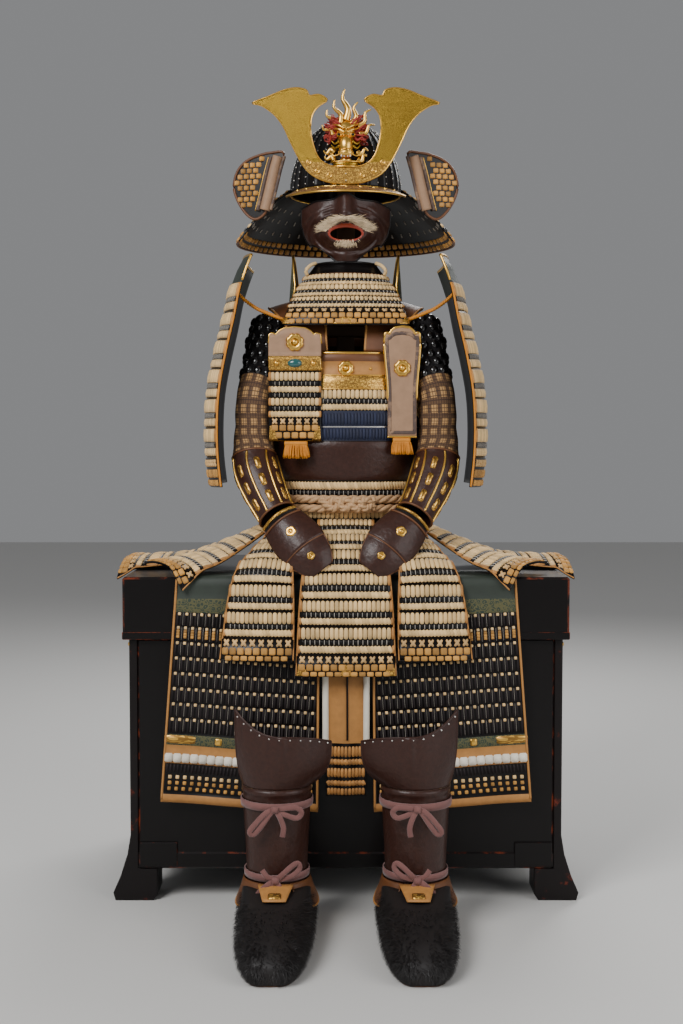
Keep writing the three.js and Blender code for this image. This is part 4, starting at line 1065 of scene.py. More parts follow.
# Cuirass: bands by height on the front, lames on the back
FRONT = table("z lift", [
    [993, 2], [976, 2], [975, 0.5], [951, 0.5], [950, 1.6], [926, 1.6], [925, 1.6], [906, 0.6], [904, 1.4],
    [886, 0.6],
    [884, 1.0], [858, 1.0], [856, 0.6], [832, 0.6], [830, 2.6], [760, 2.6], [758, 0.6], [736, 0.6],
    [685, 0.6],
])
FRONT_FINISHES = [(976, "brown_leather"), (951, "plain_leather"), (926, "chased"), (886, "lacquer"),
                  (858, "navy"),
                  (855.9, "silver"), (832, "navy"), (760, "brown_lacquer"), (685, "lacquer")]
FRONT_COURSES = [("laces", 925, 908), ("heads", 907, 900), ("braid", 899, 887), ("navy_laces", 884, 859),
                 ("navy_laces", 855, 833), ("braid", 757, 741), ("heads", 740, 731), ("laces", 706, 688)]
BACK_COURSES = [("braid", 1016, 1004), ("laces", 1003, 980), ("heads", 979, 970), ("braid", 969, 956),
                ("laces", 955, 935),
                ("heads", 934, 926), ("braid", 925, 912), ("laces", 911, 890), ("heads", 889, 882),
                ("navy_laces", 880, 858),
                ("navy_laces", 855, 834), ("braid", 757, 741), ("heads", 740, 731), ("laces", 706, 688)]


def dense(rows, most=0.04):
    """More rows between those of a table, so that curved stretches stay smooth"""
    full = [rows[0]]
    for (v0, l0), (v1, l1) in zip(rows, rows[1:]):
        count = max(1, math.ceil((v1 - v0) / most))
        full += [(mix(v0, v1, k / count), mix(l0, l1, k / count)) for k in range(1, count + 1)]
    return full


def build_cuirass():
    for name, top, middle, courses in (("cuirass_front", FRONT_TOP, 0, FRONT_COURSES),
                                       ("cuirass_back", BACK_TOP, 180, BACK_COURSES)):
        share = lambda z, top=top: (top - z) / (top - HEM_Z)
        surface = cuirass_half(top, middle)
        piece = Piece(name)
        if middle == 0:
            rows = [(share(z), lift) for z, lift in zip(FRONT["z"], FRONT["lift"])]
            finishes = [(share(z), kind) for z, kind in FRONT_FINISHES]
        else:
            rows = [(0, 1.5), (share(1018), 1.5), (share(1017), 0.8), (share(832), 0.8), (share(830), 2.6),
                    (share(760), 2.6),
                    (share(758), 0.8), (1, 0.8)]
            finishes = [(share(1018), "brown_leather"), (share(832), "lacquer"),
                        (share(760), "brown_lacquer"), (1.0, "lacquer")]
        piece.wall(surface, dense(rows), 72, 2.4, finishes)
        out = lifts(rows)
        bands = [(kind, share(a), share(b)) for kind, a, b in courses]
        dress(piece, surface, bands, lift=out, span=(-0.99, 0.99))
        piece.across(surface, 0.004, 0.995, 120, 2.2, 2.6, "gold", 8)
        if middle == 0:
            for z in (951, 926, 831, 759):
                piece.across(surface, share(z), 0.995, 120, 2.8, 1.1, "gold" if z > 900 else "lacquer", 6)
            piece.lay("rosette", "gold", placed(surface, np.array([0.0]), np.array([share(963)]), (30, 30, 9),
                                                1.5))
            u = np.array([-0.34, -0.2, 0.2, 0.34])
            piece.lay("ball", "gold", placed(surface, u, np.full(4, share(963)), (6, 6, 3), 1.5))
        for u in (-0.985, 0.985):
            piece.down(surface, u, (share(868), 0.995), 50, 2.4, 1.6, "lacquer", 6)
        piece.done()


# Straps, collar plates, belt, chest plates and tassels
def build_straps():
    for side, word in SIDES.items():
        strap = sided(STRAP, side)
        piece = Piece(f"shoulder_strap_{word}")
        piece.wall(strap, even(33), 14, 3.6, [(0.9, "brown_leather"), (1.0, "chased")])
        for u in (-0.97, 0.97):
            piece.down(strap, u, (0.01, 0.99), 50, 1.6, 2.2, "plain_leather", 7)
        piece.done()
        collar = Piece(f"collar_plate_{word}")

        def plate(u, v, side=side):
            s = (u + 1) / 2
            seat_v = mix(0.42, 0.78, s)
            seat = STRAP(np.full_like(seat_v, 0.12), seat_v) + normal(STRAP, np.full_like(seat_v, 0.12),
                                                                      seat_v) * 1.8
            rise = 12 + 74 * np.sqrt(np.maximum(0, 1 - u * u * 0.96))
            p = seat + point(-6 * v, 0 * v, rise * (1 - v))
            return p * np.array([-side, 1, 1])
        collar.wall(plate, even(9), 30, 2.6, [(1.0, "brocade")])
        rim = plate(np.linspace(-1, 1, 50), np.zeros(50))
        collar.sweep(np.concatenate([plate(np.full(1, -1.0), np.ones(1)), rim,
                                     plate(np.ones(1), np.ones(1))]), 2.4, "gold", sides=8)
        collar.done()


ROPE = {"r": 8.0, "heights": (724, 707), "seat": 2.7}


def build_belt():
    """Two turns of laid rope round the waist, twisted into a knot in front"""
    piece = Piece("rope_belt")
    count, lay_turns, strands = 420, 17, 3

    def strand_on(path, across, phase, twists, radius):
        turn = np.linspace(0, twists * 2 * math.pi, len(path), endpoint=False) + phase
        ahead = unit(np.gradient(path, axis=0))
        side = unit(np.cross(ahead, across))
        lift = np.cross(side, ahead)
        return path + (side * np.cos(turn)[:, None] + lift * np.sin(turn)[:, None]) * radius

    for height in ROPE["heights"]:
        around_waist = np.linspace(0, 2 * math.pi, count, endpoint=False)
        at = torso(around_waist, np.full(count, WAIST_Z))
        out = ROPE["seat"] + ROPE["r"]
        path = at + point(np.sin(around_waist) * out, -np.cos(around_waist) * out, 0)
        path[:, 2] = height
        for k in range(strands):
            line = strand_on(path, np.array([0.0, 0.0, 1.0]), k * 2 * math.pi / strands, lay_turns, 3.9)
            piece.sweep(line, 4.4, "rope", sides=7, closed=True)
    for start, high in ((-46, 9), (-36, -9)):
        twist = cord_line([[start, 30, 716 + high], [start / 2, 21, 716 - high], [-2, 17, 716 + high],
                           [20, 18, 716 - high],
                           [36, 22, 716 + high], [52, 33, 716 - high]], 80)
        for k in range(strands):
            piece.sweep(strand_on(twist, np.array([0.0, 0.0, 1.0]), k * 2 * math.pi / strands, 5, 3.6), 3.9,
                        "rope", sides=7)
    piece.done()


CROWN = table("share drop", [[0, 0], [0.4, 2], [0.6, 7], [0.72, 14], [0.82, 11], [0.97, 13], [1, 30]])
CROWN_PART = 0.17


def flat_plate(x, half, top, low, y):
    """A hanging plate's front as a surface: u across, v from the shaped upper edge down"""
    def surface(u, v):
        crown = top - np.interp(np.abs(u), CROWN["share"], CROWN["drop"])
        straight = mix(top - 14, low, CROWN_PART)
        below = (v - CROWN_PART) / (1 - CROWN_PART)
        z = np.where(v < CROWN_PART, mix(crown, straight, v / CROWN_PART), mix(straight, low, below))
        return point(x + half * u, y + 0 * u, z)
    return surface


def round_plate(surface, half=1.0, top=0.0, low=0.99, over=0.0, under=0.995, across=60):
    """A closed line round a plate: up one side, over the top, down the other side and back below"""
    return np.concatenate([
        surface(np.full(30, -half), np.linspace(low, top, 30)),
        surface(np.linspace(-half, half, across), np.full(across, over)),
        surface(np.full(30, half), np.linspace(top, low, 30)),
        surface(np.linspace(half, -half, 30), np.full(30, under))])


LACED_Y, SMOOTH_Y = 27.0, 35.5


def build_chest_plates():
    laced = flat_plate(-93, 48, 1038, 832, LACED_Y + 0.4)
    piece = Piece("chest_plate_laced")
    rows = [(0, 0), (0.2, 0), (0.201, 1.6), (0.335, 1.6), (0.336, 0.2), (1, 0.2)]
    piece.wall(laced, dense(rows), 40, 3.4, [(0.2005, "pink_leather"), (0.3355, "chased"), (1.0, "lacquer")])
    bands = [("laces", 0.35, 0.435), ("heads", 0.44, 0.48), ("braid", 0.485, 0.545), ("heads", 0.55, 0.59),
             ("laces", 0.595, 0.67),
             ("heads", 0.675, 0.715), ("braid", 0.72, 0.78), ("crosses", 0.79, 0.845),
             ("squares", 0.85, 0.91), ("squares_between", 0.92, 0.98)]
    dress(piece, laced, bands, thick=3.4, span=(-0.92, 0.92))
    ends(piece, laced, bands, thick=3.4, share=0.95)
    corner_plates(piece, laced, 0.86, middles=(-0.82, 0.82), half=0.17)
    piece.lay("rosette", "gold", placed(laced, np.zeros(1), np.full(1, 0.1), (34, 34, 9), 1.4))
    piece.lay("ball", "gold", placed(laced, np.array([-0.7, 0.7]), np.full(2, 0.268), (10, 10, 4), 3))
    piece.lay("ball", "stone", placed(laced, np.zeros(1), np.full(1, 0.268), (28, 17, 6), 2.4))
    piece.sweep(round_plate(laced), 2.0, "gold", sides=7, closed=True)
    piece.done()

    def smooth_front(u, v):
        waist = mix(1.0, 0.8, ease(v, 0.05, 0.6))
        p = flat_plate(0, 33, 1040, 838, SMOOTH_Y)(u, v)
        return point(103 + p[..., 0] * waist, p[..., 1], p[..., 2])
    piece = Piece("chest_plate_smooth")
    piece.wall(smooth_front, dense([(0, 0), (1, 0)]), 30, 3.0, [(1.0, "pink_leather")])
    piece.sweep(round_plate(smooth_front), 2.6, "gold", sides=7, closed=True)
    border = round_plate(smooth_front, 0.86, 0.05, 0.95, 0.045, 0.955, 30)
    piece.sweep(border + point(0, -1.5, 0), 3.4, "dark_leather", sides=8, closed=True, flat=0.7)
    piece.lay("rosette", "gold", placed(smooth_front, np.zeros(1), np.full(1, 0.33), (32, 32, 8), 1.4))
    piece.done()


def tassel(name, x, y, top, half, long):
    """Silk strands whose roots are held in a flat bound head"""
    piece = Piece(name)
    head = cord_line([[x - half, y - 1, top - 5], [x, y - 1, top - 5], [x + half, y - 1, top - 5]], 8)
    piece.sweep(head, 4.5, "orange", sides=10)
    for row in range(4):
        count = 26
        for i in range(count):
            share = ((i + 0.5) / count * 2 - 1) + 0.02 * rng.standard_normal()
            drop = long * (0.86 + 0.14 * rng.random())
            x0, x1 = x + share * (half - 2), x + share * (half + 3) + rng.standard_normal()
            y0 = y - 3.6 + row * 2.0
            line = cord_line([[x0, y0, top - 5], [mix(x0, x1, 0.5) + 0.6 * rng.standard_normal(), y0,
                                                  top - drop / 2], [x1, y0, top - drop]], 5)
            piece.sweep(line, 1.15, "orange", sides=4)
    piece.done()


# Sleeves, forearms and hand guards
def build_arms():
    for side, word in SIDES.items():
        arm = sided(ARM, side)
        sleeve = Piece(f"sleeve_{word}")
        surface = lambda u, v: arm(u, v * ELBOW)
        def folds(u, v):
            return 0.7 * np.sin(38 * v + 3 * np.sin(2 * math.pi * u)) * ease(v, 0.45, 0.8)

        wrinkle = raised(surface, folds)
        sleeve.wall(wrinkle, even(71), 56, 2.0, [(0.47, "mail"), (1.0, "cloth")], closed=True)
        cloth = sleeve.joined("_cloth")
        for k, v in enumerate(np.linspace(0.05, 0.445, 7)):
            sleeve.lay("ball", "boss", course(surface, v, 20, (0.82, 16.5, 4.4), 1.0, span=(0, 1),
                                              stagger=k % 2 == 1))
        mail = sleeve.done()
        forearm = Piece(f"forearm_{word}")
        plate = lambda u, v: arm(u, mix(ELBOW + 0.0015, 1, v))
        forearm.wall(plate, even(31, 0.4), 56, 2.6, [(1.0, "brown_lacquer")], closed=True)
        for k in range(7):
            forearm.down(plate, (k + 0.5) / 7, (0.05, 0.97), 40, 2.2, 2.3, "gold", 6)
        for k in range(7):
            for v in (0.3, 0.56, 0.8):
                at = placed(plate, np.array([k / 7]), np.array([v]), (11, 27, 2.0), 1.4)
                forearm.lay("pad", "chased", at)
        for v in (0.02, 0.985):
            forearm.sweep(lifted(plate, 1.6)(np.linspace(0, 1, 60, endpoint=False), np.full(60, v)), 2.0,
                          "brown_leather", sides=6, closed=True)
        forearm.done()
        build_hand(side, word)


def build_hand(side, word):
    hand = sided(HAND, side)
    piece = Piece(f"hand_guard_{word}")
    rows = dense([(0, 0), (0.1, 0.4), (0.12, 2.4), (0.4, 4.0), (0.6, 2.8), (0.605, 0.4), (0.8, 1.4),
                  (1, 0.4)], 0.03)
    finishes = [(0.105, "mail"), (1.0, "brown_lacquer")]
    piece.wall(hand, rows, 30, 2.4, finishes)
    out = lifts(rows)
    for v, size in ((0.34, 20), (0.76, 15)):
        piece.lay("flower", "gold", placed(hand, np.zeros(1), np.full(1, v), (size, size, 4), 1.3 + out(v)))
    for v, kind, radius in ((0.005, "chased", 3.2), (0.115, "brown_leather", 2.0),
                            (0.604, "brown_leather", 1.8)):
        piece.across(hand, v, 0.99, 50, 1.4 + out(v + 0.01), radius, kind, 7)
    for u in (-0.99, 0.99):
        piece.down(hand, u, (0.02, 0.98), 40, 1.2, 1.5, "brown_leather", 6)
    piece.done()


# Shoulder guards and their cords
CAP_SHARE = 0.13
GUARD_CORD = [[-196.2, 60, 1118], [-196, 48, 1100], [-168, 42, 1076], [-142, 46, 1064], [-118, 54, 1055],
              [-100, 63.2, 1049]]


def build_shoulders():
    for side, word in SIDES.items():
        guard = sided(SHOULDER, side)
        piece = Piece(f"shoulder_guard_{word}")
        rows = [(0, 1), (0.06, 0.8), (0.12, 0.6)] + steps_of(7, CAP_SHARE, 1)
        piece.wall(guard, rows, 44, 2.6, [(0.125, "green"), (1.0, "lacquer")])
        out = lifts(rows)
        last = CAP_SHARE + 0.87 * 6 / 7
        bands = lames(6, CAP_SHARE, last)
        dress(piece, guard, bands, lift=out, span=(-0.96, 0.96))
        ends(piece, guard, bands, share=0.975, lift=out)
        hem = [("crosses", last + 0.005, last + 0.03), ("squares", last + 0.04, last + 0.072),
               ("squares_between", last + 0.08, last + 0.112)]
        dress(piece, guard, hem, lift=out, span=(-0.96, 0.96))
        for u in (-0.995, 0.995):
            piece.down(guard, u, (CAP_SHARE, 0.995), 80, 1.8, 2.0, "orange", 6)
            piece.down(guard, u, (0.0, 0.12), 12, 1.0, 2.4, "gold", 7)
        piece.across(guard, 0.004, 0.995, 60, 1.0, 3.0, "gold", 8)
        piece.done()
        cord = Piece(f"shoulder_cord_{word}")
        path = cord_line(GUARD_CORD, 60) * np.array([-side, 1, 1])
        turn = np.linspace(0, 14 * 2 * math.pi, 60)
        for phase in (0, math.pi):
            off = point(0, np.cos(turn + phase), np.sin(turn + phase)) * 1.9
            cord.sweep(path + off, 2.3, "orange", sides=7)
        cord.done()


# Thigh guards: plates and laces on cloth, laid over the lid and hung down its front
THIGH_SLOPE = 0.018
THIGH_ROWS = 8
LACED_FROM, LACED_TO = 0.34, 0.76


def build_thighs():
    for side, word in SIDES.items():
        thigh = sided(lambda u, v: THIGH(u, v + THIGH_SLOPE * u * ease(v, 0.26, 0.4)), side)
        piece = Piece(f"thigh_guard_{word}")
        rows = dense([(0, 0), (0.28, 0), (0.285, 0.6), (0.336, 0.6), (0.34, 0), (0.76, 0), (0.765, 1.4),
                      (0.8, 1.4), (0.802, 0.8),
                      (0.865, 0.8), (0.868, 0.4), (0.97, 0.4), (0.972, 1.4), (1, 1.4)], 0.02)
        finishes = [(0.284, "green"), (0.338, "brocade"), (0.763, "lacquer"), (0.801, "brocade"),
                    (0.866, "plain_leather"),
                    (0.971, "lacquer"), (1.0, "plain_leather")]
        piece.wall(thigh, rows, 48, 2.2, finishes)
        cloth = piece.joined("_cloth")
        edges = np.linspace(LACED_FROM, LACED_TO, THIGH_ROWS + 1)
        for k, (a, b) in enumerate(zip(edges, edges[1:])):
            high = length_down(thigh, a, b)
            piece.lay("lace", "plum", course(thigh, (a + b) / 2, 6.5, (0.62, high * 0.98, 2.2), 1.4,
                                             span=(-0.97, 0.97)))
            # Thin pale lines between the dark laces: painted highlights that stand for light on the laces
            piece.lay("lace", "thread", course(thigh, (a + b) / 2, 13.0, (0.045, high * 0.9, 2.4), 1.5,
                                               span=(-0.97, 0.97), stagger=True))
            piece.lay("square", "cream", course(thigh, mix(a, b, 0.12), 13.0, (0.40, 5.2, 3.4), 1.8,
                                                span=(-0.97, 0.97)))
            if k == 1:
                for share in (0.34, 0.52, 0.70):
                    piece.lay("square", "amber", course(thigh, mix(a, b, share), 13.0, (0.46, 5.4, 3.4), 2.0,
                                                        span=(-0.97, 0.97)))
        piece.lay("pad", "chased", placed(thigh, np.array([-0.79, 0.79]), np.full(2, 0.782), (62, 16, 1.6),
                                          2.2))
        piece.lay("square", "gold", placed(thigh, np.array([-0.3, 0.3]), np.full(2, 0.782), (13, 13, 2.4),
                                           2.4))
        piece.lay("pad", "white", course(thigh, 0.846, 15.0, (1.04, 17.0, 6.0), 1.2, span=(-0.99, 0.99)))
        piece.lay("lace", "plum", course(thigh, 0.882, 6.5, (0.7, 16.0, 2.2), 1.4, span=(-0.97, 0.97)))
        for k, v in enumerate((0.912, 0.932, 0.952)):
            kind = "cream" if k == 0 else "amber"
            piece.lay("square", kind, course(thigh, v, 13.0, (0.5, 6.5, 3.2), 1.6, span=(-0.95, 0.95)))
        for u in (-0.99, 0.99):
            piece.down(thigh, u, (0.02, 0.99), 90, 1.6, 2.2, "plain_leather", 7)
        plates = piece.done()
    build_strip()


def build_strip():
    piece = Piece("thigh_middle_strip")
    surface = lambda u, v: STRIP(u * np.where(v > 0.815, 0.86, 1.0), v)
    rows = dense([(0, 0), (0.6, 0), (0.61, 1.4), (0.812, 1.0), (0.816, 0.6), (1, 0.6)], 0.02)
    piece.wall(surface, rows, 16, 2.4, [(0.814, "plain_leather"), (1.0, "lacquer")])
    cloth = piece.joined("_cloth")
    for u in (-0.9, 0.9):
        piece.down(surface, u, (0.3, 0.81), 70, 2.2, 5.6, "white", 8)
    bands = [("amber_laces", 0.822, 0.862), ("amber_braid", 0.868, 0.89), ("amber_laces", 0.9, 0.935),
             ("amber_braid", 0.945, 0.965),
             ("amber_laces", 0.972, 0.998)]
    dress(piece, surface, bands, span=(-0.97, 0.97))
    piece.down(surface, 0.05, (0.4, 0.8), 60, 3.4, 1.8, "lacquer", 7)
    lacing = piece.done()


# Legs
# Bows of the ties: each line is a loop or a loose end, by points beside the knot
KNEE_LOOPS = [
    [[0, -8, 0], [-14, -14, -4], [-30, -14, -20], [-42, -12, -36], [-36, -10, -42], [-22, -12, -26],
     [-8, -12, -6], [0, -8, 0]],
    [[0, -8, 0], [14, -14, 3], [34, -13, 4], [44, -11, -4], [36, -10, -14], [16, -12, -8], [0, -8, 0]],
    [[0, -9, 0], [8, -13, -12], [14, -12, -30], [12, -10, -46]],
]
ANKLE_LOOPS = [
    [[0, -8, 0], [10, -14, 10], [28, -13, 26], [38, -11, 30], [40, -10, 20], [26, -12, 8], [0, -8, 0]],
    [[0, -8, 0], [-12, -14, -5], [-26, -13, -18], [-30, -11, -26], [-18, -12, -22], [-6, -12, -6],
     [0, -8, 0]],
    [[0, -9, 0], [6, -13, -8], [12, -12, -22]], [[0, -9, 0], [-14, -12, 8], [-22, -10, 18]],
]


def build_ties(side, word):
    for name, z, wide, loops in (("knee_tie", 222, 6.5, KNEE_LOOPS), ("ankle_tie", 101, 6.0, ANKLE_LOOPS)):
        piece = Piece(f"{name}_{word}")

        def band(u, v, z=z, wide=wide):
            return shin_at(-u * 2 * math.pi + math.pi, z + wide * (0.5 - v) * 2,
                           4.4) * np.array([-side, 1, 1]) if side == RIGHT \
                else shin_at(u * 2 * math.pi, z + wide * (0.5 - v) * 2, 4.4)
        piece.wall(band, [(0, 0), (0.5, 0.5), (1, 0)], 48, 2.0, [(1.0, "velvet")], closed=True)
        centre = shin_at(np.zeros(1), np.full(1, float(z)), 5.0)[0]
        for line in loops:
            path = cord_line(line, 36) * np.array([1 if side == LEFT else 0.94, 1, 1]) + centre
            piece.sweep(path * np.array([-side, 1, 1]), 4.6, "velvet", sides=8, flat=1.1)
        knot = point(*(centre + np.array([0, -11, 0])))[None] * np.array([-side, 1, 1])
        across, up, out = (np.array([axis], float) for axis in ([1, 0, 0], [0, 0, 1], [0, -1, 0]))
        piece.lay("pad", "velvet", (knot, euler(across, up, out), np.array([[13.0, 12.0, 5.0]]),
                                    np.array([0.5])))
        piece.done()


FLAP_TOP = 98
BOOT_SIDES, FUR_HAIRS = 72, 9000


def build_legs():
    for side, word in SIDES.items():
        guard = Piece(f"shin_guard_{word}")
        surface = sided(shin, side)
        rows = dense([(0, 1.4), (0.05, 1.4), (0.055, 0.2), (0.94, 0.2), (0.945, 1.4), (1, 1.4)], 0.05)
        guard.wall(surface, rows, 48, 2.4, [(1.0, "brown_lacquer")])
        for u in (-0.985, 0.985):
            guard.down(surface, u, (0.01, 0.99), 40, 1.2, 1.8, "lacquer", 7)
        guard.done()
        plate = Piece(f"knee_plate_{word}")
        surface = sided(knee, side)
        ridge = raised(surface, lambda u, v: 2.6 * bump(u, 0, 0.07) * ease(v, 0.75, 0.3))
        plate.wall(ridge, dense([(0, 0.6), (1, 0.6)], 0.035), 60, 2.4, [(1.0, "brown_lacquer")])
        plate.across(surface, 0.004, 0.995, 90, 1.0, 1.7, "brown_lacquer", 6)
        for u in (-0.995, 0.995):
            plate.down(surface, u, (0.0, 0.95), 50, 1.0, 1.6, "brown_lacquer", 6)
        plate.lay("ball", "silver", course(surface, 0.05, 17, (0.19, 3.2, 1.8), 1.8))
        plate.done()
        build_ties(side, word)
        build_boot(side, word)


def build_boot(side, word):
    piece = Piece(f"boot_{word}")
    surface = sided(boot, side)
    levels = np.concatenate([np.linspace(0, 0.9, 26), [0.94, 0.97, 1.0]])
    piece.wall(surface, [(v, 0) for v in levels], BOOT_SIDES, 2.6, [(0.96, "fur"), (1.0, "brown_leather")],
               closed=True)
    turns = np.linspace(0, 1, BOOT_SIDES, endpoint=False)
    sole = lifted(surface, 1.0)(turns, np.full(BOOT_SIDES, 0.98))
    under, cover = ([[*p[:2], height] for p in sole] for height in (0.2, 4.0))
    rim = list(range(BOOT_SIDES))
    ring = [[i, k, BOOT_SIDES + k, BOOT_SIDES + i] for i, k in zip(rim, rim[1:] + rim[:1])]
    ends_of_sole = [rim[::-1], [BOOT_SIDES + i for i in rim]]
    piece.mesh(np.array(under + cover), ring + ends_of_sole, "brown_leather")
    u, v = rng.random(FUR_HAIRS), 0.12 + 0.84 * rng.random(FUR_HAIRS) ** 0.8
    room = 1.0 + 0.55 * surface(u, v)[:, 2]
    long, high = (np.minimum(9 + 8 * rng.random(FUR_HAIRS), room) for _ in range(2))
    size = np.stack([np.full(FUR_HAIRS, 1.0), long, high], -1)
    spin, lean = rng.normal(0, 26, FUR_HAIRS), rng.normal(-8, 8, FUR_HAIRS)
    piece.lay("hair", "fur", placed(surface, u, v, size, 1.0, spin, lean))
    for start, end in ((0.07, 0.36), (0.64, 0.93)):
        def flap(s, t, start=start, end=end):
            turn = mix(start, end, (s + 1) / 2)
            dip = np.sqrt(np.maximum(0.0, 1 - s * s))
            z = mix(FLAP_TOP - 6, FLAP_TOP - 14 - 38 * dip, t)
            return shin_at(turn * 2 * math.pi, z, 6 + 14 * t)
        leaf = sided(flap, side)
        piece.wall(leaf, even(9), 30, 1.8, [(1.0, "brown_leather")])
        piece.across(leaf, 0.99, 0.99, 50, 0.4, 2.0, "plain_leather", 6)

    def tongue(s, t):
        return point(-LEG_X + s * mix(30, 19, t), SHIN_Y - mix(62, 116, t) + 6 * s * s,
                     mix(94, 82, t) - 2 * s * s)
    piece.wall(sided(tongue, side), even(7), 12, 1.8, [(1.0, "plain_leather")])
    piece.lay("square", "chased", placed(sided(tongue, side), np.zeros(1), np.full(1, 0.72), (22, 18, 3),
                                         0.8))
    piece.done()


# Helmet
WING_OUTLINE = [
    [-114, 1369], [-126, 1331], [-139, 1291], [-146, 1266], [-158, 1251], [-174, 1247], [-192, 1262],
    [-207, 1288],
    [-213, 1313], [-206, 1340], [-188, 1359], [-161, 1369], [-138, 1372],
]
WING_X, WING_LEAN = 114, 0.36
HORN_Y = HELMET["y"] - HELMET["deep"] * 1.018 * math.cos(math.pi / 16) - 0.4
HORN_INNER = [[-35, 1454], [-51, 1443], [-62, 1427], [-65, 1401], [-60, 1373], [-49, 1348], [-29, 1335]]
HORN_OUTER = [
    [-24, 1303], [-46, 1309], [-68, 1322], [-85, 1344], [-103, 1379], [-116, 1407], [-133, 1429],
    [-156, 1445],
    [-173, 1450], [-141, 1463], [-114, 1474], [-91, 1478], [-73, 1474], [-67, 1464], [-51, 1466], [-39, 1461],
]


def smooth_outline(corners, steps=4):
    """A closed outline through the corners, rounded between them"""
    corners = np.array(corners, float)
    out = []
    for i in range(len(corners)):
        a, b, c, d = (corners[(i + k) % len(corners)] for k in (-1, 0, 1, 2))
        for f in np.arange(steps) / steps:
            out.append(b + 0.5 * f * (c - a + f * (2 * a - 5 * b + 4 * c - d + f * (3 * (b - c) + d - a))))
    return np.array(out)


def plate_mesh(name, outline, thick, bevel):
    """A flat plate with rounded edges, standing in the XZ plane with its middle at y = 0, in millimetres"""
    curve = bpy.data.curves.new(name, "CURVE")
    curve.dimensions, curve.fill_mode = "2D", "BOTH"
    curve.extrude, curve.bevel_depth, curve.bevel_resolution = (thick / 2 - bevel) * MM, bevel * MM, 2
    curve.offset = -bevel * MM
    spline = curve.splines.new("POLY")
    spline.points.add(len(outline) - 1)
    spline.points.foreach_set("co", np.column_stack([np.array(outline) * MM, np.zeros(len(outline)),
                                                     np.ones(len(outline))]).ravel())
    spline.use_cyclic_u = True
    mesh = evaluated(new_object(name, curve))
    count = len(mesh.vertices)
    flat = np.empty(count * 3)
    mesh.vertices.foreach_get("co", flat)
    flat = flat.reshape(-1, 3) / MM
    faces = [list(face.vertices) for face in mesh.polygons]
    bpy.data.meshes.remove(mesh)
    return np.stack([flat[:, 0], -flat[:, 2], flat[:, 1]], -1), faces


def within(outline, x, z):
    """Which points lie inside an outline"""
    inside = np.zeros(len(x), bool)
    for (x0, z0), (x1, z1) in zip(outline, np.roll(outline, -1, 0)):
        crosses = (z0 > z) != (z1 > z)
        inside ^= crosses & (x < (x1 - x0) * (z - z0) / (z1 - z0 + 1e-9) + x0)
    return inside


def build_wings():
    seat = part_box("helmet_wing_left")[0][1] / MM + 0.2
    outline = smooth_outline(WING_OUTLINE)
    centre = outline.mean(0)
    for side, word in SIDES.items():
        piece = Piece(f"helmet_wing_{word}")
        flip = np.array([-side, 1, 1])
        lean = lambda p: (p + point(0, seat + 3.4 + (np.abs(p[:, 0]) - WING_X) * WING_LEAN, 0)) * flip

        points, faces = plate_mesh("wing", outline, 3.4, 1.2)
        piece.mesh(lean(points), faces if side == LEFT else [face[::-1] for face in faces], "lacquer",
                   points[:, [0, 2]])
        ring = centre + (outline - centre) * 0.97
        piece.sweep(lean(point(ring[:, 0], -2.2, ring[:, 1])), 2.6, "brown_leather", sides=7, closed=True)
        field = centre + (outline - centre) * 0.86
        line = lambda shift: np.column_stack([np.interp(np.linspace(1369, 1262, 40), [1262, 1300, 1340, 1369],
                                                        [-150, -141, -132, -124]) + shift,
                                              np.linspace(1362, 1264, 40)])
        roll = line(0)
        piece.sweep(lean(point(roll[:, 0] - 2, -4.0, roll[:, 1])), 10.0, "pink_leather", sides=12)
        for shift, radius, kind in ((-15.5, 4.6, "dark_leather"), (9.5, 3.2, "dark_leather"),
                                    (-20.5, 1.3, "gold")):
            edge = line(shift)
            piece.sweep(lean(point(edge[:, 0], -3.4, edge[:, 1])), radius, kind, sides=8)
        grid = [(x, z) for k,
                z in enumerate(np.arange(1255, 1368, 10.5)) for x in np.arange(-205, -140, 12) + 6 * (k % 2)]
        x, z = np.array(grid).T
        keep = within(field, x, z) & (x < np.interp(z, [1262, 1300, 1340, 1369], [-176, -168, -159, -151]))
        at = lean(point(x[keep], -2.4, z[keep]))
        total = len(at)
        across = np.tile(unit(np.array([1.0, -WING_LEAN * side, 0.0]))[None], (total, 1))
        out = np.cross(np.tile([[0.0, 0.0, 1.0]], (total, 1)), across) * -1
        out = np.where(out[:, 1:2] > 0, -out, out)
        up = np.cross(out, across)
        piece.lay("square", "amber", (at, euler(across, up, out), np.tile([[10.5, 9.0, 3.0]], (total, 1)),
                                      rng.random(total)))
        piece.done()


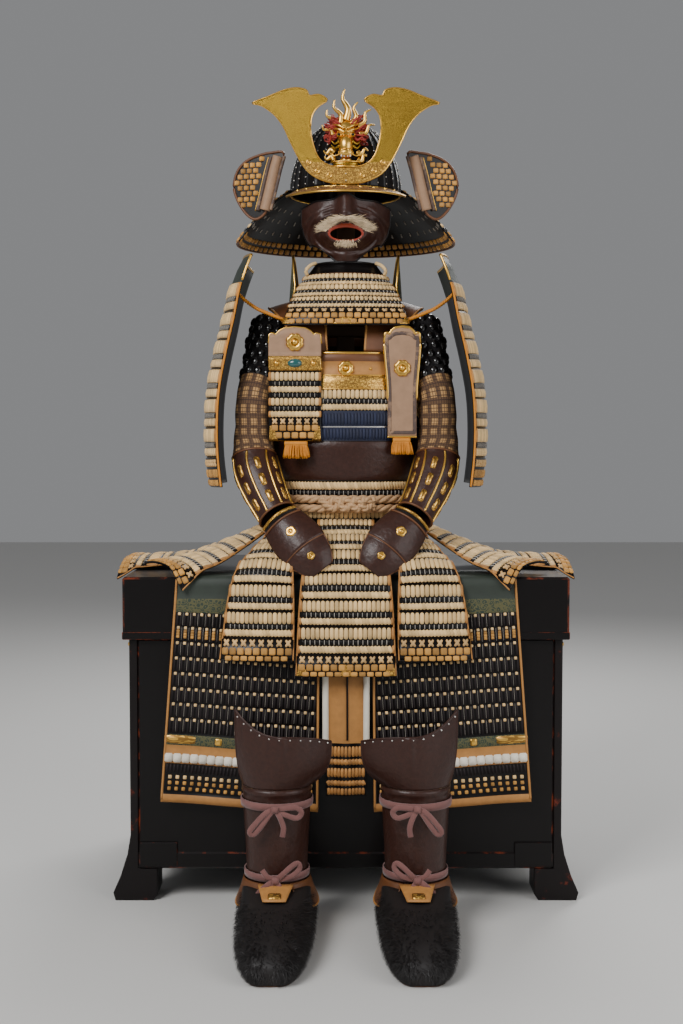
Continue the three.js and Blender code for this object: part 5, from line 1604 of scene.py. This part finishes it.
def build_helmet():
    bowl = Piece("helmet_bowl")
    bowl.wall(dome, [(v, 0) for v in np.linspace(0.002, 1, 40)], RIBS * 8, 2.4, [(1.0, "lacquer")],
              closed=True)
    for k in range(RIBS):
        vs = np.linspace(0.16, 0.96, 15)
        bowl.lay("ball", "silver", placed(dome, np.full(15, k / RIBS), vs, (3.0, 3.0, 1.6), 0.9))
    rim = dome(np.linspace(0, 1, 120, endpoint=False), np.full(120, 1.0))
    bowl.sweep(rim, 2.2, "gold", sides=7, closed=True)
    bowl.lay("rosette", "gold", placed(dome, np.zeros(1), np.full(1, 0.012), (34, 34, 9), 0))
    bowl.done()

    brim = Piece("helmet_peak")
    brim.wall(peak, even(9), 60, 2.2, [(0.9, "leather"), (1.0, "brown_lacquer")])
    edge = peak(np.linspace(-1, 1, 90), np.full(90, 1.0))
    brim.sweep(edge, 2.2, "gold", sides=8)
    brim.lay("ball", "gold", course(peak, 0.25, 26, (0.22, 5.5, 3.0), 1.2, span=(-0.9, 0.9)))
    brim.done()

    guard = Piece("neck_guard")
    rows = steps_of(5)
    guard.wall(neck, rows, 110, 2.4, [(1.0, "lacquer")])
    out = lifts(rows)
    bands = lames(4, 0.0, 0.8)
    dress(guard, neck, bands, lift=out, span=(-0.99, 0.99))
    hem = [("heads", 0.81, 0.85), ("squares", 0.86, 0.92), ("squares_between", 0.93, 0.99)]
    dress(guard, neck, hem, lift=out, span=(-0.99, 0.99))
    inside = lambda u, v: neck(-u, v)
    for v in (0.86, 0.95):
        guard.lay("square", "amber", course(inside, v, 14.0, (0.7, 10, 2.6), 1.2, span=(-0.98, 0.98),
                                            stagger=v > 0.9))
    for v in (0.3, 0.5, 0.7):
        guard.lay("pad", "thread", course(inside, v, 22.0, (0.12, 9, 1.6), 1.2, span=(-0.98, 0.98)))
    guard.sweep(neck(np.linspace(-1, 1, 150), np.full(150, 0.997)), 2.0, "brown_leather", sides=6)
    guard.done()
    build_wings()
    build_horns()
    build_crest()


def build_horns():
    piece = Piece("helmet_horns")
    half = [[0, 1302], *HORN_OUTER, *HORN_INNER, [0, 1333]]
    whole = half + [[-x, z] for x, z in half[1:-1][::-1]]
    points, faces = plate_mesh("horns", smooth_outline(whole, 3), 2.6, 1.1)
    points[:, 1] += HORN_Y - 1.3
    base = points[:, 2] < 1345
    low = [face for face in faces if base[face].all()]
    piece.mesh(points, [face for face in faces if not base[face].all()], "engraved", points[:, [0, 2]])
    piece.mesh(points, low, "chased", points[:, [0, 2]])
    edge = smooth_outline(whole, 4)
    centre = edge.mean(0)
    piece.sweep(point(edge[:, 0] * 0.992, HORN_Y - 2.5, centre[1] + (edge[:, 1] - centre[1]) * 0.985), 1.3,
                "gold", sides=6, closed=True)
    x = np.array([-52, -30, 30, 52, -68, 68], float)
    z = np.array([1326, 1318, 1318, 1326, 1342, 1342], float)
    at = point(x, HORN_Y - 2.6, z)
    across, up, out = (np.tile([axis], (6, 1)).astype(float) for axis in ([1, 0, 0], [0, 0, 1], [0, -1, 0]))
    piece.lay("flower", "gold", (at, euler(across, up, out), np.tile([[11.0, 11.0, 3.0]], (6, 1)),
                                 np.full(6, 0.5)))
    piece.done()


def ellipsoid(centre, radii, turn=0.0, rings=14, sides=20):
    """A round lump, turned about the X axis"""
    lat = np.linspace(0.02, math.pi - 0.02, rings)
    lon = np.linspace(0, 2 * math.pi, sides, endpoint=False)
    a, b = np.meshgrid(lat, lon, indexing="ij")
    p = point(np.sin(a) * np.cos(b), np.sin(a) * np.sin(b), np.cos(a)).reshape(-1, 3) * np.array(radii, float)
    c, s = math.cos(math.radians(turn)), math.sin(math.radians(turn))
    p = np.stack([p[:, 0], p[:, 1] * c - p[:, 2] * s, p[:, 1] * s + p[:, 2] * c],
                 -1) + np.array(centre, float)
    faces = []
    for j in range(rings - 1):
        for i in range(sides):
            k = (i + 1) % sides
            faces.append([j * sides + i, (j + 1) * sides + i, (j + 1) * sides + k, j * sides + k])
    faces += [list(range(sides)), [(rings - 1) * sides + i for i in range(sides)][::-1]]
    return p, faces


FLAMES = table("x z turn long wide", [
    [0, 1420, -2, 56, 6.5], [-10, 1414, -14, 44, 5], [11, 1414, 16, 40, 5], [-20, 1408, -26, 34, 4.6],
    [22, 1410, 40, 38, 4.6],
    [-24, 1394, -48, 26, 4.2], [25, 1396, 62, 32, 4.2], [-21, 1362, -84, 20, 4.6], [21, 1362, 84, 20, 4.6],
    [-22, 1348, -70, 18, 5], [22, 1348, 70, 18, 5],
])


def build_crest():
    """A gilt dragon of general form: a long head from the front, with antlers, flames and red mane locks"""
    piece = Piece("helmet_crest")
    y = HORN_Y
    for centre, radii, turn, kind in (
            ((0, y + 12, 1398), (19, 17, 24), 0, "gold"), ((0, y + 0, 1374), (13.5, 15, 20), -12, "gold"),
            ((0, y - 9, 1358), (14.5, 10, 8.5), 0, "gold"), ((0, y + 2, 1346), (11, 9, 6), 0, "gold"),
            ((0, y - 6, 1351.5), (9, 8, 2.4), 0, "red"), ((-6, y - 16, 1361), (4, 3.4, 3.4), 0, "gold"),
            ((6, y - 16, 1361), (4, 3.4, 3.4), 0, "gold"), ((-12, y - 2, 1392), (6, 6, 5), 0, "gold"),
            ((12, y - 2, 1392), (6, 6, 5), 0, "gold"), ((-12.5, y - 7, 1391.5), (3, 3, 2.6), 0, "lacquer"),
            ((12.5, y - 7, 1391.5), (3, 3, 2.6), 0, "lacquer"),
            ((0, y + 8, 1340), (24, 12, 9), 0, "engraved")):
        piece.mesh(*ellipsoid(centre, radii, turn), kind)
    for flip in (-1, 1):
        for high, wide in ((1399, 3.4), (1406, 3.0)):
            brow = cord_line([[3 * flip, y - 8, high - 3], [13 * flip, y - 6, high + 2],
                              [24 * flip, y + 4, high + 6]], 14)
            piece.sweep(brow, np.linspace(wide, 1.4, 14), "gold", sides=7)
        for low in (1380, 1372):
            cheek = cord_line([[12 * flip, y - 4, low], [20 * flip, y + 0, low - 4],
                               [27 * flip, y + 4, low + 3]], 12)
            piece.sweep(cheek, np.linspace(3.2, 1.0, 12), "engraved", sides=7)
        whisker = cord_line([[9 * flip, y - 15, 1357], [20 * flip, y - 16, 1351], [30 * flip, y - 12, 1358]],
                            16)
        piece.sweep(whisker, np.linspace(1.7, 0.6, 16), "gold", sides=6)
        for x in (3, 8):
            piece.mesh(*ellipsoid((flip * x, y - 14, 1352.5), (1.6, 1.6, 3.0), rings=6, sides=8), "white")
        for k in range(46):
            turn = math.radians(rng.uniform(34, 112))
            long = rng.uniform(14, 26)
            root = np.array([flip * 17 * math.sin(turn), y + rng.uniform(2, 22), 1396 + 22 * math.cos(turn)])
            far = root + np.array([flip * long * math.sin(turn), rng.uniform(-6, 8), long * math.cos(turn)])
            curl = np.array([rng.uniform(-5, 5), rng.uniform(-3, 3), rng.uniform(-6, 6)])
            lock = cord_line([root, mix(root, far, 0.4) + curl, mix(root, far, 0.75) - curl,
                              far + curl * 0.6], 12)
            piece.sweep(lock, np.linspace(2.8, 1.0, 12), "mane", sides=6)
    for x, z, turn, long, wide in zip(*(FLAMES[key] for key in ("x", "z", "turn", "long", "wide"))):
        lean = math.radians(turn)
        root, tip = np.array([x, y + 8.0, z]), np.array([x + long * math.sin(lean), y + 4.0,
                                                         z + long * math.cos(lean)])
        side = np.array([math.cos(lean), 0.0, -math.sin(lean)]) * 4.5
        piece.sweep(cord_line([root, mix(root, tip, 0.35) + side, mix(root, tip, 0.7) - side, tip], 20),
                    np.linspace(wide * 1.3, 1.2, 20), "gold", sides=8)
    arc = np.radians(np.linspace(-76, 76, 30))
    for z, radius in ((1335, 2.6), (1344, 1.6)):
        piece.sweep(point(30 * np.sin(arc), y + 18 - 22 * np.cos(arc), z), radius, "gold", sides=8)
    piece.done()


# Mask and throat guard
def mask_mesh(columns=110, rows=84):
    """The mask's front as an open sheet with the mouth left out, its hole's edge drawn to the ellipse"""
    u, v = np.meshgrid(np.linspace(-1, 1, columns), np.linspace(0, 1, rows))
    p = mask(u.ravel(), v.ravel())
    away = np.hypot(p[:, 0], (p[:, 2] - MOUTH["z"]) * 1.5)
    furrow = np.sin(away * 0.45) * ease(away, 40, 50) * ease(away, 88, 76) * ease(np.abs(p[:, 0]), 18, 30)
    p[:, 1] -= 1.3 * furrow
    x, z = p[:, 0] / MOUTH["half"], (p[:, 2] - MOUTH["z"]) / MOUTH["high"]
    far = np.hypot(x, z)
    cells = []
    for j in range(rows - 1):
        for i in range(columns - 1):
            a = j * columns + i
            cell = [a, a + columns, a + columns + 1, a + 1]
            if np.hypot(x[cell].mean(), z[cell].mean()) > 1:
                cells.append(cell)
    seen, edge = {}, set()
    for cell in cells:
        for a, b in zip(cell, cell[1:] + cell[:1]):
            seen[frozenset((a, b))] = seen.get(frozenset((a, b)), 0) + 1
    for pair_of, times in seen.items():
        if times == 1:
            edge |= pair_of
    rim = [i for i in edge if far[i] < 1.5]
    p[rim, 0] /= far[rim]
    p[rim, 2] = MOUTH["z"] + (p[rim, 2] - MOUTH["z"]) / far[rim]
    return p, cells


def build_mask():
    piece = Piece("face_mask")
    points, cells = mask_mesh()
    ring = np.hypot(points[:, 0] / 33, (points[:, 2] - MOUTH["z"] - 1.5) / 16)
    red = [cell for cell in cells if ring[cell].mean() < 1.0]
    dark = [cell for cell in cells if ring[cell].mean() >= 1.0]
    for cell_list, kind in ((dark, "brown_lacquer"), (red, "red")):
        mesh = mesh_of("mask", points, cell_list, points[:, [0, 2]])
        made = new_object("mask", mesh)
        skin = made.modifiers.new("thick", "SOLIDIFY")
        skin.thickness, skin.offset = 2.4 * MM, -1.0
        result = evaluated(made)
        result.materials.clear()
        result.materials.append(FINISHES[kind])
        piece.meshes.append(result)
    edge = np.concatenate([mask(np.linspace(-1, 1, 90), np.zeros(90)),
                           mask(np.full(30, 1.0), np.linspace(0, 1, 30)),
                           mask(np.linspace(1, -1, 90), np.ones(90)),
                           mask(np.full(30, -1.0), np.linspace(1, 0, 30))])
    piece.sweep(edge, 1.8, "lacquer", sides=6, closed=True)
    whiskers(piece)
    piece.done()


def whiskers(piece):
    """Moustache locks that spread from under the nose over the cheeks, and a tuft on the chin"""
    count = 620
    for flip in (-1, 1):
        share = rng.random(count)
        x0 = flip * mix(-1, 37, share)
        z0 = 1235 - 17 * share ** 1.6 + rng.normal(0, 1.6, count)
        long = rng.uniform(12, 24, count)
        turn = np.radians(rng.normal(4, 9, count) + 8 * share)
        root = point(x0, 0, z0)
        tip = point(x0 + flip * long * np.cos(turn), 0, z0 + long * np.sin(turn))
        hairs(piece, root, tip, 4.5, 1.1)
    x0 = rng.normal(0, 7.5, 320)
    z0 = 1197 + rng.normal(0, 1.3, 320) + np.abs(x0) * 0.12
    hairs(piece, point(x0, 0, z0), point(x0 * 1.2, 0, z0 - rng.uniform(5, 11, 320)), 2.4, 0.9)


def mask_front(x, z):
    """The mask's outermost y at a place in front of it"""
    u, v = np.meshgrid(np.linspace(-1, 1, 90), np.linspace(0, 1, 70))
    p = mask(u.ravel(), v.ravel())
    near = ((p[None, :, 0] - x[:, None]) ** 2 + (p[None, :, 2] - z[:, None]) ** 2).argmin(1)
    return p[near, 1]


def hairs(piece, root, tip, proud, wide):
    root, tip = root.copy(), tip.copy()
    root[:, 1] = mask_front(root[:, 0], root[:, 2])
    tip[:, 1] = mask_front(tip[:, 0], tip[:, 2]) - proud
    down = tip - root
    long = np.linalg.norm(down, axis=1)
    y = -unit(down)
    out = np.tile([[0.0, -1.0, 0.0]], (len(root), 1))
    out = unit(out - y * (out * y).sum(-1, keepdims=True))
    x = np.cross(y, out)
    size = np.stack([np.full(len(root), wide), long, long * 0.45], -1)
    piece.lay("hair", "hair", (root, euler(x, y, out), size, rng.random(len(root))))


def build_throat():
    piece = Piece("throat_guard")
    rows = [(0, 0.4), (0.1, 0.4), (0.19, 0.4)] + steps_of(4, 0.2, 1)
    piece.wall(throat, rows, 60, 2.4, [(1.0, "lacquer")])
    out = lifts(rows)
    courses = [("laces", 0.0, 0.42), ("heads", 0.44, 0.66), ("braid", 0.68, 0.94)]
    bands = lames(3, 0.2, 0.74, courses)
    dress(piece, throat, bands, lift=out, span=(-0.95, 0.95))
    ends(piece, throat, bands, lift=out, share=0.975)
    hem = [("crosses", 0.75, 0.82), ("squares", 0.825, 0.905), ("squares_between", 0.915, 0.992)]
    dress(piece, throat, hem, lift=out, span=(-0.97, 0.97))
    corner_plates(piece, throat, 0.9, middles=(-0.88, 0.0, 0.88), half=0.16)
    for v, kind, radius in ((0.0, "lacquer", 2.4), (0.19, "brown_leather", 1.6), (0.998, "lacquer", 2.0)):
        piece.across(throat, v, 0.99, 80, 1.4, radius, kind, 7)
    for flip in (-1, 1):
        knot = cord_line([[56 * flip, 108, 1163], [66 * flip, 100, 1158], [74 * flip, 92, 1148],
                          [72 * flip, 96, 1140]], 20)
        piece.sweep(knot, 3.4, "cream", sides=8)
    piece.done()


# Armour chest and stand
def bevelled_box(piece, low, high, edge, kind, edge_kind):
    """A box whose edges are planed off and show the rubbed finish"""
    low, high = np.array(low, float), np.array(high, float)
    points, faces, edge_faces = [], [], []
    index = {}
    for axis in range(3):
        for end in (0, 1):
            corners = []
            a, b = (axis + 1) % 3, (axis + 2) % 3
            for sa, sb in ((0, 0), (1, 0), (1, 1), (0, 1)):
                p = np.empty(3)
                p[axis] = (low, high)[end][axis]
                p[a] = (low[a] + edge, high[a] - edge)[sa]
                p[b] = (low[b] + edge, high[b] - edge)[sb]
                index[(axis, end, sa, sb)] = len(points)
                corners.append(len(points))
                points.append(p)
            faces.append(corners if end else corners[::-1])
    for axis in range(3):
        a, b = (axis + 1) % 3, (axis + 2) % 3
        for ea in (0, 1):
            for eb in (0, 1):
                on_a = [index[(a, ea, eb, s)] for s in (0, 1)]
                on_b = [index[(b, eb, s, ea)] for s in (0, 1)]
                strip = [on_a[0], on_a[1], on_b[1], on_b[0]]
                edge_faces.append(strip if (ea == eb) else strip[::-1])
    for ex in (0, 1):
        for ey in (0, 1):
            for ez in (0, 1):
                corner = [index[(0, ex, ey, ez)], index[(1, ey, ez, ex)], index[(2, ez, ex, ey)]]
                edge_faces.append(corner if (ex + ey + ez) % 2 else corner[::-1])
    centre = (low + high) / 2
    points = np.array(points)

    def outward(face):
        a, b, c = points[face[0]], points[face[1]], points[face[2]]
        facing = np.dot(np.cross(b - a, c - a), points[face].mean(0) - centre)
        return face if facing > 0 else face[::-1]
    piece.mesh(points, [outward(face) for face in faces], kind, points[:, [0, 2]], smooth=False)
    piece.mesh(points, [outward(face) for face in edge_faces], edge_kind, points[:, [0, 2]], smooth=False)


def build_chest():
    half, front, back, top, seam = (CHEST[key] for key in ("half", "front", "back", "top", "seam"))
    lid = Piece("chest_lid")
    bevelled_box(lid, (-half, front, seam), (half, back, top), 4, "lacquer", "worn_lacquer")
    bevelled_box(lid, (-half - 0.8, front - 0.8, seam - 0.2), (half + 0.8, back + 0.8, seam + 14), 1.5,
                 "lacquer", "worn_lacquer")
    lid.done()
    body = Piece("chest_body")
    inner, y0, y1 = CHEST["body_half"], front + CHEST["inset"], back - CHEST["inset"]
    low = CHEST["floor_gap"]
    bevelled_box(body, (-inner, y0, low), (inner, y1, seam - 0.4), 3, "lacquer", "worn_lacquer")
    bevelled_box(body, (-inner - 0.4, y0 - 3, low), (inner + 0.4, y1 + 3, 90), 3, "lacquer", "worn_lacquer")
    for x in (-1, 1):
        middle = x * (inner - 36)
        bevelled_box(body, (middle - 34, y0 - 4, 64), (middle + 34, y0 - 1, 108), 1.2, "lacquer",
                     "worn_lacquer")
    body.done()
    outline = [[-374.4, seam - 0.4], [-389.4, seam - 0.4], [-389.4, 120], [-395.4, 84], [-407.4, 46],
               [-421.4, 14], [-417.4, 0],
               [-348.4, 0], [-340.4, 12], [-340.4, 59.6], [-374.4, 59.6]]
    for end, y in (("front", y0), ("back", y1 - 70)):
        for side, word in SIDES.items():
            leg = Piece(f"chest_leg_{end}_{word}")
            points, faces = plate_mesh("leg", outline, 68, 2.5)
            points[:, 1] += y + 35
            points *= np.array([-side, 1, 1])
            leg.mesh(points, faces if side == LEFT else [face[::-1] for face in faces], "feet",
                     points[:, [0, 2]], smooth=False)
            for z in (20, 470):
                x = side * np.interp(z, [0, 46, 120, 500], [419, 407, 389.8, 389.8])
                bevelled_box(leg, (x - 1.4, y + 3, z - 6), (x + 1.4, y + 67, z), 0.6, "gold", "gold")
            leg.done()


STAND_BARS = table("half front back low high", [
    [17, 163, 197, 607, 1428], [60, 134, 226, 589.4, 607], [122, 150, 190, 1050, 1074],
    [60, 150, 190, 1030, 1049.9],
    [80, 120, 180, 1244, 1262],
])


def build_stand():
    piece = Piece("stand")
    for half, front, back, low, high in zip(*STAND_BARS.values()):
        bevelled_box(piece, (-half, front, low), (half, back, high), 1.5, "wood", "wood")
    piece.done()


# Stage: a pale floor and three soft lights, (name, place in metres, size, power)
FLOOR_REACH = 9000
LIGHTS = (("key", (-1.7, -2.4, 2.7), 1.6, 120), ("fill", (2.4, -2.0, 1.5), 2.2, 48),
          ("rim", (0.6, 2.2, 2.6), 1.6, 60))


def build_stage():
    corners = [[x * FLOOR_REACH, y * FLOOR_REACH, 0] for x, y in ((-1, -1), (1, -1), (1, 1), (-1, 1))]
    floor = new_object("floor", mesh_of("floor", corners, [[0, 1, 2, 3]]))
    pale = bpy.data.materials.new("pale floor")
    pale.use_nodes = True
    skin = pale.node_tree.nodes["Principled BSDF"]
    skin.inputs["Base Color"].default_value = (0.62, 0.61, 0.59, 1)
    skin.inputs["Roughness"].default_value = 0.7
    floor.data.materials.append(pale)
    world = bpy.data.worlds.new("studio")
    bpy.context.scene.world = world
    world.use_nodes = True
    sky = world.node_tree.nodes["Background"]
    sky.inputs["Color"].default_value = (0.80, 0.81, 0.83, 1)
    sky.inputs["Strength"].default_value = 0.30
    for name, place, size, power in LIGHTS:
        data = bpy.data.lights.new(name, "AREA")
        data.size, data.energy = size, power
        light = bpy.data.objects.new(name, data)
        light.location = place
        aim = np.array([0, 0.1, 0.75]) - np.array(place)
        light.rotation_euler = (math.atan2(math.hypot(aim[0], aim[1]), -aim[2]), 0,
                                math.atan2(-aim[0], aim[1]))
        bpy.context.scene.collection.objects.link(light)


build_tassets()
build_cuirass()
build_straps()
build_belt()
build_chest_plates()
tassel("tassel_left", -91, LACED_Y - 3, 831.6, 21, 33)
tassel("tassel_right", 102, SMOOTH_Y - 1, 837.6, 16, 32)
build_arms()
build_shoulders()
build_thighs()
build_legs()
build_helmet()
build_mask()
build_throat()
build_chest()
build_stand()
build_stage()
for template in TEMPLATES.values():
    bpy.data.objects.remove(template)
